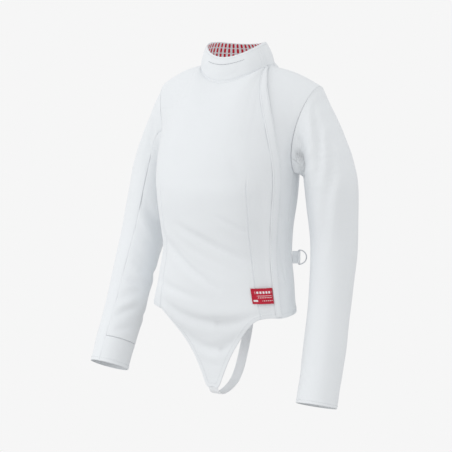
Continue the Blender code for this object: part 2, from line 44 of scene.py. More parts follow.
bodyForm = {
    "chestZ": -0.205,            # underarm height
    "neckHalf": (0.075, 0.068),  # half width and half depth of the neck seam
    "neckDrop": (-0.030, 0.014), # neck seam height at the throat and at the nape
    "shoulderTip": (0.178, 0.014, -0.038),
    "dartU": 0.47,               # dart and neck corner, share of the half turn
    "closureU": 0.80,
    "closureTurn": 1.15,         # v where the closure reaches closureU
    "shoulderArch": 0.006,
    "frontRound": 0.030,         # how far the columns first lead out of the top seam
    "backRound": 0.042,
    "shoulderRound": 0.022,
    "chestLead": 0.085,          # and how far up they lead into the chest section
    "sideLeadLoss": 0.025,
    "armholeScoop": 0.034,
    "armholeInset": 0.010,
    "softReach": 0.16,           # share of the half turn over which the neck's corner is smoothed
    "squareness": 0.035,
    "sections": np.array([       # height, side seam Y, half width, depth forwards, depth backwards
        (-0.205, -0.031, 0.1460, 0.1320, 0.1040),
        (-0.240, -0.033, 0.1445, 0.1350, 0.1040),
        (-0.300, -0.036, 0.1390, 0.1240, 0.0980),
        (-0.360, -0.038, 0.1350, 0.1080, 0.0930),
        (-0.420, -0.048, 0.1430, 0.0930, 0.1040),
        (-0.480, -0.062, 0.1545, 0.0680, 0.1180),
        (-0.540, -0.064, 0.1570, 0.0420, 0.1200),
        (-0.600, -0.065, 0.1570, 0.0330, 0.1200),
        (-0.650, -0.065, 0.1570, 0.0320, 0.1200),
    ]),
    "frontHem": np.array([       # share of the half turn, height of the lower edge
        (0.000, -0.637), (0.055, -0.637), (0.110, -0.606), (0.176, -0.572), (0.291, -0.531),
        (0.387, -0.506), (0.470, -0.491), (0.560, -0.486), (0.800, -0.485), (1.000, -0.484),
    ]),
    "backHemZ": -0.484,
    "arcScale": 0.21,            # metres of cloth per unit of u, for placing folds
}

armForm = {
    "left": np.array([           # height, x, y, half width, half depth
        (-0.245, 0.2115, 0.0040, 0.0510, 0.0540),
        (-0.345, 0.2180, 0.0030, 0.0458, 0.0480),
        (-0.445, 0.2190, -0.0120, 0.0420, 0.0440),
        (-0.545, 0.2210, -0.0385, 0.0415, 0.0425),
        (-0.600, 0.2225, -0.0570, 0.0405, 0.0415),
        (-0.651, 0.2235, -0.0750, 0.0398, 0.0405),
    ]),
    "right": np.array([
        (-0.245, -0.2050, 0.0040, 0.0480, 0.0540),
        (-0.345, -0.2155, -0.0200, 0.0455, 0.0480),
        (-0.426, -0.2195, -0.0530, 0.0425, 0.0445),
        (-0.500, -0.2210, -0.0840, 0.0415, 0.0430),
        (-0.556, -0.2220, -0.1120, 0.0405, 0.0415),
        (-0.612, -0.2235, -0.1380, 0.0392, 0.0400),
    ]),
    "cuffHeight": 0.053,
    "capStart": 0.012,
    "capSpread": 0.155,          # outward lead at the armhole per metre of cap height
    "tipSpreadLoss": 0.175,      # what the shoulder tip loses of it
    "tipDrop": 0.09,
    "capFall": 0.50,             # upward lead at the arm per metre of cap height
    "tipFallLoss": 0.17,
}

collarForm = {
    "rimHalf": (0.0600, 0.0575),
    "rimShift": (-0.0030, -0.0010),  # the rim leans to the right and forwards
    "rimTop": 0.057,
    "frontDrop": 0.040,          # how much lower the rim is at the throat
    "throatTurn": 0.12,          # radians from the front to the rim's low place
    "throatPower": 2.4,
    "backDrop": 0.016,
    "leftRise": 0.002,
    "underEnd": 48,              # degrees from the front towards the wearer's left
    "upperEnd": 437,
    "lapStart": 390,
    "barrel": 0.0035,
    "baseGrow": 1.004,           # the seam edge is laid a little round and under the body's edge
    "baseSink": 0.0014,
    "lapLift": 0.0022,
}


def curveThrough(x, xs, ys):
    # cubic Hermite through the rows, tangents are the mean of the two neighbouring slopes
    xs, ys = np.asarray(xs, float), np.asarray(ys, float)
    steps = np.diff(ys) / np.diff(xs)
    slopes = np.concatenate(([steps[0]], (steps[:-1] + steps[1:]) / 2, [steps[-1]]))
    x = np.clip(x, xs[0], xs[-1])
    k = np.clip(np.searchsorted(xs, x, side="right") - 1, 0, len(xs) - 2)
    width = xs[k + 1] - xs[k]
    t = (x - xs[k]) / width
    return ((2 * t**3 - 3 * t**2 + 1) * ys[k] + (t**3 - 2 * t**2 + t) * width * slopes[k]
            + (3 * t**2 - 2 * t**3) * ys[k + 1] + (t**3 - t**2) * width * slopes[k + 1])


def ease(t):
    # smooth step: 3t^2 - 2t^3 between 0 and 1
    t = np.clip(t, 0.0, 1.0)
    return t * t * (3 - 2 * t)


def bell(distance, reach):
    # exp(-(d/r)^2)
    return np.exp(-(distance / reach)**2)


def unit(vectors):
    return vectors / np.maximum(np.linalg.norm(vectors, axis=-1, keepdims=True), 1e-12)


def points(x, y, z):
    return np.stack(np.broadcast_arrays(x, y, z), axis=-1).astype(float)


def bezier(p0, p1, p2, p3, t):
    # cubic Bezier: sum of binomial weights times the four controls
    t = t[..., None]
    return (1 - t)**3 * p0 + 3 * t * (1 - t)**2 * p1 + 3 * t**2 * (1 - t) * p2 + t**3 * p3


def bodySection(turn, z):
    # x = w sin(a) k, y = mid - d cos(a) k, with k = 1 + q sin^2(2a); w, d and mid come from the rows at z
    rows = bodyForm["sections"]
    mid, halfW, front, back = (curveThrough(-z, -rows[:, 0], rows[:, c]) for c in (1, 2, 3, 4))
    depth = np.where(np.cos(turn) > 0, front, back)
    swell = 1 + bodyForm["squareness"] * np.sin(2 * turn)**2
    return points(halfW * np.sin(turn) * swell, mid - depth * np.cos(turn) * swell, z)


def neckline(turn):
    # ellipse at the neck whose height falls with cos^2 towards the throat and the nape
    halfW, halfD = bodyForm["neckHalf"]
    throat, nape = bodyForm["neckDrop"]
    dip = np.where(np.cos(turn) > 0, throat, nape)
    return points(halfW * np.sin(turn), -halfD * np.cos(turn), dip * np.cos(turn)**2)


def topLine(u, facing):
    # neckline up to dartU, then a straight shoulder seam to the shoulder tip, arched by a half sine
    along = np.abs(u)
    side = np.sign(u) + (u == 0)
    turn = pi / 2 * np.clip(along / bodyForm["dartU"], 0, 1)
    neck = neckline(turn if facing < 0 else pi - turn)
    reach = np.clip((along - bodyForm["dartU"]) / (1 - bodyForm["dartU"]), 0, 1.1)[..., None]
    seam = reach * (np.array(bodyForm["shoulderTip"]) - np.array((bodyForm["neckHalf"][0], 0, 0)))
    seam[..., 2] += bodyForm["shoulderArch"] * np.sin(pi * reach[..., 0])
    line = neck + seam
    line[..., 0] *= side
    return line


def bodySurface(u, v, facing):
    # u across (-1 right side, 1 left side); v 0 top line, 1 chest section, 2 hem. Above the chest each
    # column is a Bezier arc; below it z = chest + (v - 1)(hem(u) - chest) on the body sections
    turn = u * pi / 2
    if facing > 0:
        turn = pi - turn
    along = np.abs(u)
    chestZ = bodyForm["chestZ"]
    top = topLine(u, facing)
    chest = bodySection(turn, np.full_like(u, chestZ))
    fall = (chest - bodySection(turn, np.full_like(u, chestZ - 0.01))) / 0.01
    shoulder = ease(along / bodyForm["dartU"])
    roundness = bodyForm["frontRound" if facing < 0 else "backRound"] + bodyForm["shoulderRound"] * shoulder
    first = top + points(0.0 * u, facing * roundness, -0.030 * (1 - shoulder) - 0.004)
    sideDip = ease((along - 0.75) / 0.25)
    lift = (bodyForm["chestLead"] - bodyForm["sideLeadLoss"] * sideDip)[..., None] * fall
    lift[..., 1] += sideDip * facing * bodyForm["armholeScoop"]
    lift[..., 0] -= sideDip * np.sign(u) * bodyForm["armholeInset"]
    upper = bezier(top, first, chest + lift, chest, np.clip(v, 0, 1))
    hem = bodyForm["frontHem"]
    if facing < 0:
        hemZ = curveThrough(along, hem[:, 0], hem[:, 1])
    else:
        hemZ = np.full_like(u, bodyForm["backHemZ"])
    lower = bodySection(turn, chestZ + np.clip(v - 1, 0, 1.2) * (hemZ - chestZ))
    return np.where((v <= 1)[..., None], upper, lower)


def softBody(u, v, facing):
    # weighted mean of the body surface at five places across u, fading out before the chest section
    reach = bodyForm["softReach"] * ease(v / 0.40) * ease((1 - np.abs(u)) / 0.25)
    total = np.zeros(u.shape + (3,))
    for place, weight in ((-1.0, 0.12), (-0.5, 0.23), (0.0, 0.30), (0.5, 0.23), (1.0, 0.12)):
        total += weight * bodySurface(u + place * reach, v, facing)
    share = (1 - ease((v - 0.70) / 0.30))[..., None]
    return total * share + bodySurface(u, v, facing) * (1 - share)


def closureLine(v):
    # the closure runs from the neck's corner to closureU with a smooth step
    return bodyForm["dartU"] + (bodyForm["closureU"] - bodyForm["dartU"]) * ease(v / bodyForm["closureTurn"])


def armhole(side, ring):
    # ring 0 shoulder tip, 0.25 front, 0.5 underarm, 0.75 back: the outer columns of front and back
    ring = np.mod(ring, 1.0)
    down = np.where(ring <= 0.5, ring * 2, 2 - ring * 2)
    edge = np.full_like(down, float(side))
    return np.where((ring <= 0.5)[..., None], bodySurface(edge, down, -1), bodySurface(edge, down, 1))


def armFrame(side, v):
    # middle of the tube, its outward and forward axes and half sizes, v from 1 to 2 down the rows
    arm = armForm["left" if side > 0 else "right"]
    share = np.linspace(1, 2, len(arm))

    def middleAt(w):
        return points(*(curveThrough(w, share, arm[:, k]) for k in (1, 2, 0)))

    axis = unit(middleAt(v + 0.02) - middleAt(v - 0.02))
    forward = unit(np.cross(axis, np.broadcast_to((1.0, 0.0, 0.0), axis.shape)))
    forward *= -np.sign(forward[..., 1:2])
    outward = unit(np.cross(forward, axis))
    outward *= np.sign(outward[..., 0:1]) * side
    return (middleAt(v), outward, forward,
            curveThrough(v, share, arm[:, 3]), curveThrough(v, share, arm[:, 4]))


def armReach(arm):
    return np.linalg.norm(np.diff(arm[:, :3], axis=0), axis=1).sum()


def armTube(side, ring, v):
    # middle + a cos(t) outward + b sin(t) forward
    middle, outward, forward, halfW, halfD = armFrame(side, v)
    angle = 2 * pi * ring
    return (middle + (halfW * np.cos(angle))[..., None] * outward
            + (halfD * np.sin(angle))[..., None] * forward)


def sleeveSurface(side, ring, v):
    # v 0 armhole, 1 below the cap, 2 hem: a Bezier arc for the cap, then the arm tube
    start = armhole(side, ring)
    one = np.ones_like(v)
    end = armTube(side, ring, one)
    fall = unit(end - armTube(side, ring, one * 1.02))
    height = np.abs(start[..., 2] - end[..., 2])
    tip = (1 + np.cos(2 * pi * ring)) / 2
    form = armForm
    spread = form["capStart"] + (form["capSpread"] - form["tipSpreadLoss"] * tip) * height
    lead = points(side * spread, 0.0 * ring, -0.002 - (0.03 + form["tipDrop"] * tip) * height)
    rise = fall * (form["capStart"] + (form["capFall"] - form["tipFallLoss"] * tip) * height)[..., None]
    cap = bezier(start, start + lead, end + rise, end, np.clip(v, 0, 1))
    return np.where((v <= 1)[..., None], cap, armTube(side, ring, np.clip(v, 1, 2.2)))


def collarSurface(turn, share, out):
    # base + (rim - base) share + away (barrel sin(pi share) + out), from the neckline to the tilted rim
    halfW, halfD = collarForm["rimHalf"]
    throat = ((1 + np.cos(turn - collarForm["throatTurn"])) / 2)**collarForm["throatPower"]
    nape = ((1 - np.cos(turn)) / 2)**1.5
    shiftX, shiftY = collarForm["rimShift"]
    rim = points(halfW * np.sin(turn) + shiftX, shiftY - halfD * np.cos(turn),
                 collarForm["rimTop"] - collarForm["frontDrop"] * throat
                 - collarForm["backDrop"] * nape + collarForm["leftRise"] * np.sin(turn))
    grow = collarForm["baseGrow"]
    base = neckline(turn) * (grow, grow, 1.0) - np.array((0.0, 0.0, collarForm["baseSink"]))
    away = points(np.sin(turn), -np.cos(turn), 0 * turn)
    bulge = collarForm["barrel"] * np.sin(pi * share) + out
    return base + (rim - base) * share[..., None] + away * bulge[..., None]


def collarNormal(turn):
    return unit(points(np.sin(turn), -np.cos(turn), 0.12 + 0 * turn))


def surfaceNormals(surface, u, v, outside):
    # cross product of the two partial steps, turned towards `outside`
    step = 0.003
    across = surface(u + step, v) - surface(u - step, v)
    down = surface(u, v + step) - surface(u, np.maximum(v - step, 0))
    normals = unit(np.cross(across, down))
    return normals * np.sign((normals * outside).sum(-1).mean())


# folds

def foldField(across, down, rows):
    # each row is a crease: three control points of a quadratic arc, half width w, depth (+ is a ridge) and a
    # shoulder share k. Height = depth * taper * (exp(-(d/w)^2) - k exp(-(d/2.3w)^2)), d from the arc
    height = np.zeros_like(across)
    t = np.linspace(0, 1, 26)
    for x0, y0, x1, y1, x2, y2, width, depth, shoulder in rows:
        lineX = (1 - t)**2 * x0 + 2 * t * (1 - t) * x1 + t**2 * x2
        lineY = (1 - t)**2 * y0 + 2 * t * (1 - t) * y1 + t**2 * y2
        gap = np.hypot(across.reshape(-1, 1) - lineX, down.reshape(-1, 1) - lineY)
        nearest = gap.argmin(1)
        distance = gap.min(1)
        taper = np.sin(pi * np.clip(t[nearest] * 0.92 + 0.04, 0, 1))**0.7
        shape = bell(distance, width) - shoulder * bell(distance, 2.3 * width)
        height += (depth * shape * taper).reshape(across.shape)
    return height


def softWaves(x, y, scale, depth, seed):
    # six crossing sine waves with random directions and phases, for cloth that is nowhere quite flat
    chance = np.random.default_rng(seed)
    total = np.zeros_like(x)
    waves = 6
    for _ in range(waves):
        heading = chance.uniform(0, pi)
        wave = scale * chance.uniform(0.6, 1.5)
        total += np.sin(2 * pi * (x * cos(heading) + y * sin(heading)) / wave + chance.uniform(0, 2 * pi))
    return total * depth / waves


# mesh makers

def gridFaces(rows, columns, first=0):
    corner = first + (np.arange(rows - 1)[:, None] * columns + np.arange(columns - 1))
    return np.stack((corner, corner + 1, corner + columns + 1, corner + columns), -1).reshape(-1, 4)


def fillMesh(name, vertices, faces, smooth=True):
    mesh = bpy.data.meshes.new(name)
    mesh.vertices.add(len(vertices))
    mesh.vertices.foreach_set("co", np.asarray(vertices, np.float32).ravel())
    faces = np.asarray(faces, np.int32)
    mesh.loops.add(faces.size)
    mesh.loops.foreach_set("vertex_index", faces.ravel())
    mesh.polygons.add(len(faces))
    mesh.polygons.foreach_set("loop_start", np.arange(len(faces), dtype=np.int32) * faces.shape[1])
    mesh.update(calc_edges=True)
    mesh.validate()
    if smooth:
        mesh.shade_smooth()
    return mesh


def turnOutwards(mesh):
    shape = bmesh.new()
    shape.from_mesh(mesh)
    bmesh.ops.recalc_face_normals(shape, faces=shape.faces)
    shape.to_mesh(mesh)
    shape.free()


def layUv(mesh, uv):
    # one UV pair for each vertex, spread to the face corners
    loops = np.empty(len(mesh.loops), np.int32)
    mesh.loops.foreach_get("vertex_index", loops)
    mesh.uv_layers.new(name="cloth").data.foreach_set("uv", uv[loops].astype(np.float32).ravel())


def placed(name, data):
    # an object of this data, linked into the scene
    thing = bpy.data.objects.new(name, data)
    bpy.context.scene.collection.objects.link(thing)
    return thing


def finishPiece(name, mesh, finish, body, nodes):
    mesh.materials.append(finish)
    piece = placed(name, mesh)
    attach(piece, body)
    if nodes:
        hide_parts(*nodes)
    return piece


def clothShell(name, outer, normals, wall, finish, nodes=(), uv=None, body="jacket"):
    # closed thin wall: the outer grid, the same grid moved in by wall along its normals, and a rim
    rows, columns = outer.shape[:2]
    count = rows * columns
    vertices = np.concatenate((outer.reshape(-1, 3), (outer - normals * wall).reshape(-1, 3)))
    index = np.arange(count).reshape(rows, columns)
    border = np.concatenate((index[0, :-1], index[:-1, -1], index[-1, :0:-1], index[:0:-1, 0]))
    following = np.roll(border, -1)
    rim = np.stack((border, border + count, following + count, following), -1)
    faces = np.concatenate((gridFaces(rows, columns)[:, ::-1], gridFaces(rows, columns, count), rim))
    mesh = fillMesh(name, vertices, faces)
    if uv is not None:
        layUv(mesh, np.concatenate((uv.reshape(-1, 2), uv.reshape(-1, 2))))
    turnOutwards(mesh)
    return finishPiece(name, mesh, finish, body, nodes)


def rolledEdge(distance, depth=0.0006, reach=0.0012):
    # cloth turns in at a seam: -depth * exp(-(d/reach)^2)
    return -depth * bell(distance, reach)


def distanceTo(grid, line):
    # shortest distance from every grid point to a row of points, in slices of the grid
    flat = grid.reshape(-1, 3)
    nearest = np.empty(len(flat))
    for part in np.array_split(np.arange(len(flat)), 40):
        nearest[part] = np.sqrt(((flat[part, None, :] - line[None]) ** 2).sum(-1).min(1))
    return nearest.reshape(grid.shape[:-1])


def contourLine(outer, normals, field, value):
    # down each column, the point where a falling field reaches the value, by linear interpolation
    row = np.clip((field > value).sum(0) - 1, 0, len(field) - 2)
    column = np.arange(field.shape[1])
    high, low = field[row, column], field[row + 1, column]
    t = np.clip((high - value) / (high - low + 1e-9), 0, 1)[:, None]
    spot = outer[row, column] * (1 - t) + outer[row + 1, column] * t
    return spot, unit(normals[row, column] * (1 - t) + normals[row + 1, column] * t)


def arcLengths(spots):
    return np.concatenate(([0.0], np.cumsum(np.linalg.norm(np.diff(spots, axis=0), axis=1))))


def evenAlong(spots, normals, step):
    # the same line with points at equal arc lengths, and their directions
    length = arcLengths(spots)
    at = np.arange(step / 2, length[-1], step)

    def valueAt(place, rows):
        return np.stack([np.interp(place, length, rows[:, k]) for k in range(3)], -1)

    centre = valueAt(at, spots)
    return centre, unit(valueAt(at + step / 4, spots) - centre), unit(valueAt(at, normals))


def stitchPiece(name, lines, finish, stitch=0.0026, space=0.0036, thick=0.00034):
    # every stitch is a small pointed bead: four rings of five points with radius sqrt(1 - s^2), two poles,
    # laid along the line and sunk to half its thickness
    rings = np.array((-0.86, -0.34, 0.34, 0.86))
    angle = 2 * pi * np.arange(5) / 5
    s, a = np.meshgrid(rings, angle, indexing="ij")
    radius = np.sqrt(1 - s**2)
    bead = np.stack((s * stitch / 2, radius * np.cos(a) * thick * 1.3, radius * np.sin(a) * thick), -1)
    bead = np.concatenate((bead.reshape(-1, 3), ((-stitch / 2, 0, 0), (stitch / 2, 0, 0))))
    k = np.arange(5)
    follow = (k + 1) % 5
    lower = [np.stack((k + 5 * r, follow + 5 * r, follow + 5 * r + 5), -1) for r in range(3)]
    upper = [np.stack((k + 5 * r, follow + 5 * r + 5, k + 5 * r + 5), -1) for r in range(3)]
    poles = [np.stack((follow, k, k * 0 + 20), -1), np.stack((k + 15, follow + 15, k * 0 + 21), -1)]
    side = np.concatenate(lower + upper + poles)
    allPoints, allFaces, first = [], [], 0
    for spots, normals in lines:
        centre, along, normal = evenAlong(spots, normals, space)
        beside = unit(np.cross(normal, along))
        normal = np.cross(along, beside)
        frameOf = np.stack((along, beside, normal), 1)
        beads = (centre + normal * thick * 0.35)[:, None, :] + np.einsum("pk,nkj->npj", bead, frameOf)
        allPoints.append(beads.reshape(-1, 3))
        starts = first + len(bead) * np.arange(len(centre))
        allFaces.append((side[None] + starts[:, None, None]).reshape(-1, 3))
        first += len(beads) * len(bead)
    mesh = fillMesh(name, np.concatenate(allPoints), np.concatenate(allFaces))
    turnOutwards(mesh)
    return finishPiece(name, mesh, finish, "jacket", ())


# finishes

def addNode(tree, kind, vector, **values):
    node = tree.nodes.new("ShaderNode" + kind)
    tree.links.new(vector, node.inputs["Vector"])
    for word, value in values.items():
        node.inputs[word].default_value = value
    return node


def shaderGroup(name, inputs, outputs):
    group = bpy.data.node_groups.new(name, "ShaderNodeTree")
    for word, kind, value in inputs:
        socket = group.interface.new_socket(word, in_out="INPUT", socket_type=kind)
        if value is not None:
            socket.default_value = value
    for word, kind in outputs:
        group.interface.new_socket(word, in_out="OUTPUT", socket_type=kind)
    return group, group.nodes.new("NodeGroupInput"), group.nodes.new("NodeGroupOutput")


def calc(tree, operation, first, second=0.0, third=0.0):
    node = tree.nodes.new("ShaderNodeMath")
    node.operation = operation
    for socket, value in zip(node.inputs, (first, second, third)):
        if isinstance(value, (int, float)):
            socket.default_value = value
        else:
            tree.links.new(value, socket)
    return node.outputs[0]


def waveOf(tree, value, turn, operation="COSINE"):
    return calc(tree, operation, calc(tree, "MULTIPLY", value, turn))


def makeKnitGroup():
    # wales are ridges along V, courses chevrons across them. With x, y in stitches and x' = fract(x) - 1/2:
    # (0.5 + 0.5 cos(2 pi x')) * (0.78 + 0.22 cos(2 pi (y + 0.9 |x'|)))
    group, given, result = shaderGroup(
        "closeKnit", (("Vector", "NodeSocketVector", None), ("Wale", "NodeSocketFloat", 0.0012),
                      ("Course", "NodeSocketFloat", 0.0009)), (("Height", "NodeSocketFloat"),))
    split = addNode(group, "SeparateXYZ", given.outputs["Vector"])
    across = calc(group, "DIVIDE", split.outputs["X"], given.outputs["Wale"])
    offset = calc(group, "SUBTRACT", calc(group, "FRACT", across), 0.5)
    ridge = calc(group, "MULTIPLY_ADD", waveOf(group, offset, 2 * pi), 0.5, 0.5)
    down = calc(group, "DIVIDE", split.outputs["Y"], given.outputs["Course"])
    slant = calc(group, "MULTIPLY_ADD", calc(group, "ABSOLUTE", offset), 0.9, down)
    loop = calc(group, "MULTIPLY_ADD", waveOf(group, slant, 2 * pi), 0.22, 0.78)
    group.links.new(calc(group, "MULTIPLY", ridge, loop), result.inputs["Height"])
    return group


def makeRibGroup():
    # webbing, x in ribs and y in picks: |sin(pi x)| * (0.6 + 0.4 |sin(pi (y + floor(x) / 2))|)
    group, given, result = shaderGroup(
        "ribbedWeave", (("Vector", "NodeSocketVector", None), ("Rib", "NodeSocketFloat", 0.0016),
                        ("Pick", "NodeSocketFloat", 0.0011)), (("Height", "NodeSocketFloat"),))
    split = addNode(group, "SeparateXYZ", given.outputs["Vector"])
    across = calc(group, "DIVIDE", split.outputs["X"], given.outputs["Rib"])
    rib = calc(group, "ABSOLUTE", waveOf(group, across, pi, "SINE"))
    down = calc(group, "MULTIPLY_ADD", calc(group, "FLOOR", across), 0.5,
                calc(group, "DIVIDE", split.outputs["Y"], given.outputs["Pick"]))
    pick = calc(group, "ABSOLUTE", waveOf(group, down, pi, "SINE"))
    height = calc(group, "MULTIPLY", rib, calc(group, "MULTIPLY_ADD", pick, 0.4, 0.6))
    group.links.new(height, result.inputs["Height"])
    return group


def makeToneGroup():
    # broad soft tone of the yarn: 1 - amount * noise
    group, given, result = shaderGroup(
        "yarnTone", (("Vector", "NodeSocketVector", None), ("Scale", "NodeSocketFloat", 14.0),
                     ("Amount", "NodeSocketFloat", 0.03)), (("Tone", "NodeSocketFloat"),))
    noise = addNode(group, "TexNoise", given.outputs["Vector"], Detail=3.0)
    group.links.new(given.outputs["Scale"], noise.inputs["Scale"])
    lost = calc(group, "MULTIPLY", noise.outputs[0], given.outputs["Amount"])
    group.links.new(calc(group, "SUBTRACT", 1.0, lost), result.inputs["Tone"])
    return group


shared = {"knit": makeKnitGroup(), "rib": makeRibGroup(), "tone": makeToneGroup()}


def useGroup(tree, key, vector, **values):
    node = tree.nodes.new("ShaderNodeGroup")
    node.node_tree = shared[key]
    tree.links.new(vector, node.inputs["Vector"])
    for word, value in values.items():
        node.inputs[word].default_value = value
    return node.outputs[0]


def newFinish(name, roughness, metallic=0.0, sheen=0.0, specular=0.3):
    finish = bpy.data.materials.new(name)
    finish.use_nodes = True
    tree = finish.node_tree
    shader = tree.nodes["Principled BSDF"]
    shader.inputs["Roughness"].default_value = roughness
    shader.inputs["Metallic"].default_value = metallic
    shader.inputs["Sheen Weight"].default_value = sheen
    shader.inputs["Sheen Roughness"].default_value = 0.45
    shader.inputs["Specular IOR Level"].default_value = specular
    return finish, tree, shader, tree.nodes.new("ShaderNodeTexCoord")


def tinted(tree, factor, low, high):
    mix = tree.nodes.new("ShaderNodeMix")
    mix.data_type = "RGBA"
    if isinstance(factor, float):
        mix.inputs["Factor"].default_value = factor
    else:
        tree.links.new(factor, mix.inputs["Factor"])
    for key, colour in (("A", low), ("B", high)):
        socket = [s for s in mix.inputs if s.name == key and s.type == "RGBA"][0]
        if isinstance(colour, tuple):
            socket.default_value = (*colour, 1.0)
        else:
            tree.links.new(colour, socket)
    return [s for s in mix.outputs if s.type == "RGBA"][0]


def bumped(tree, shader, height, distance, strength):
    bump = tree.nodes.new("ShaderNodeBump")
    bump.inputs["Distance"].default_value = distance
    bump.inputs["Strength"].default_value = strength
    tree.links.new(height, bump.inputs["Height"])
    tree.links.new(bump.outputs[0], shader.inputs["Normal"])


def knitCloth(name, light, dark, wale=0.0012, course=0.0009, strength=0.35):
    finish, tree, shader, place = newFinish(name, 0.86, sheen=0.12, specular=0.22)
    knit = useGroup(tree, "knit", place.outputs["UV"], Wale=wale, Course=course)
    tone = useGroup(tree, "tone", place.outputs["Object"], Scale=11.0, Amount=0.10)
    # the knit's low places are painted darker: painted shade in the knit's hollows, times the yarn's random
    # tone
    shade = calc(tree, "MULTIPLY", calc(tree, "MULTIPLY_ADD", knit, 0.30, 0.70), tone)
    tree.links.new(tinted(tree, shade, dark, light), shader.inputs["Base Color"])
    tree.links.new(calc(tree, "MULTIPLY_ADD", knit, -0.10, 0.92), shader.inputs["Roughness"])
    bumped(tree, shader, knit, 0.00022, strength)
    return finish


def liningKnit(name, pattern):
    # upright red dashes with round ends, in even rows and columns: inside where the distance from the
    # dash's middle line, sqrt(x^2 + max(|y| - straightHalf, 0)^2), is under dashHalf
    finish, tree, shader, place = newFinish(name, 0.88, sheen=0.15, specular=0.2)
    split = addNode(tree, "SeparateXYZ", place.outputs["UV"])

    def fromMiddle(value, pitch):
        share = calc(tree, "FRACT", calc(tree, "DIVIDE", value, pitch))
        return calc(tree, "MULTIPLY", calc(tree, "SUBTRACT", share, 0.5), pitch)

    aside = fromMiddle(split.outputs["X"], pattern["columnPitch"])
    up = calc(tree, "ABSOLUTE", fromMiddle(split.outputs["Y"], pattern["rowPitch"]))
    beyond = calc(tree, "MAXIMUM", calc(tree, "SUBTRACT", up, pattern["straightHalf"]), 0.0)
    squares = calc(tree, "MULTIPLY_ADD", beyond, beyond, calc(tree, "MULTIPLY", aside, aside))
    gap = calc(tree, "SQRT", squares)
    soft = tree.nodes.new("ShaderNodeMapRange")
    soft.interpolation_type = "SMOOTHSTEP"
    soft.inputs["From Min"].default_value = pattern["dashHalf"] + 0.0002
    soft.inputs["From Max"].default_value = pattern["dashHalf"] - 0.0002
    tree.links.new(gap, soft.inputs["Value"])
    knit = useGroup(tree, "knit", place.outputs["UV"], Wale=0.0020, Course=0.0014)
    # ground and red are painted darker in the knit's low places: painted shade in the knit's hollows
    ground = tinted(tree, knit, pattern["groundDark"], pattern["ground"])
    ink = tinted(tree, knit, pattern["redDark"], pattern["red"])
    colour = tinted(tree, soft.outputs[0], ground, ink)
    tree.links.new(colour, shader.inputs["Base Color"])
    # the lining glows with its own colour: painted light that brightens the shaded inside of the collar
    tree.links.new(colour, shader.inputs["Emission Color"])
    shader.inputs["Emission Strength"].default_value = pattern["glow"]
    bumped(tree, shader, knit, 0.00035, 0.6)
    return finish


def wovenLabel(name, weave):
    # red satin with a lighter edge line and plain bars, measured in metres from the label's middle
    finish, tree, shader, place = newFinish(name, 0.62, sheen=0.1, specular=0.35)
    split = addNode(tree, "SeparateXYZ", place.outputs["UV"])
    across, up = split.outputs["X"], split.outputs["Y"]

    def inside(value, middle, half):
        gap = calc(tree, "ABSOLUTE", calc(tree, "SUBTRACT", value, middle))
        return calc(tree, "LESS_THAN", gap, half)

    marks = 0.0
    for middleX, middleY, halfX, halfY, dash in weave["bars"]:
        bar = calc(tree, "MULTIPLY", inside(across, middleX, halfX), inside(up, middleY, halfY))
        if dash:
            beat = calc(tree, "FRACT", calc(tree, "DIVIDE", across, dash))
            bar = calc(tree, "MULTIPLY", bar, calc(tree, "LESS_THAN", beat, weave["dashShare"]))
        marks = calc(tree, "MAXIMUM", marks, bar)
    rib = useGroup(tree, "rib", place.outputs["UV"], Rib=0.0006, Pick=0.0007)
    # the red is painted darker in the weave's low places: painted shade in the weave's hollows
    red = tinted(tree, rib, weave["redDark"], weave["red"])
    tree.links.new(tinted(tree, marks, red, weave["white"]), shader.inputs["Base Color"])
    bumped(tree, shader, rib, 0.00012, 0.5)
    return finish


def webbingFinish(name, light, dark):
    finish, tree, shader, place = newFinish(name, 0.78, sheen=0.1, specular=0.3)
    rib = useGroup(tree, "rib", place.outputs["UV"], Rib=0.0017, Pick=0.0010)
    tone = useGroup(tree, "tone", place.outputs["Object"], Scale=30.0, Amount=0.10)
    # the ribs' low places are painted darker: painted shade between the ribs, times a random tone
    shade = calc(tree, "MULTIPLY", rib, tone)
    tree.links.new(tinted(tree, shade, dark, light), shader.inputs["Base Color"])
    bumped(tree, shader, rib, 0.00040, 0.6)
    return finish


def threadFinish(name, light, dark):
    finish, tree, shader, place = newFinish(name, 0.6, sheen=0.1, specular=0.4)
    twist = addNode(tree, "TexWave", place.outputs["Object"], Scale=900.0).outputs["Fac"]
    # the twist's low places are painted darker: painted shade in the thread's grooves
    tree.links.new(tinted(tree, twist, dark, light), shader.inputs["Base Color"])
    bumped(tree, shader, twist, 0.0001, 0.4)
    return finish


def ringMetal(name, light, dark):
    finish, tree, shader, place = newFinish(name, 0.28, metallic=1.0, specular=0.5)
    worn = addNode(tree, "TexNoise", place.outputs["Object"], Scale=260.0, Detail=4.0).outputs[0]
    tree.links.new(tinted(tree, worn, dark, light), shader.inputs["Base Color"])
    tree.links.new(calc(tree, "MULTIPLY_ADD", worn, 0.22, 0.20), shader.inputs["Roughness"])
    bumped(tree, shader, worn, 0.00006, 0.3)
    return finish


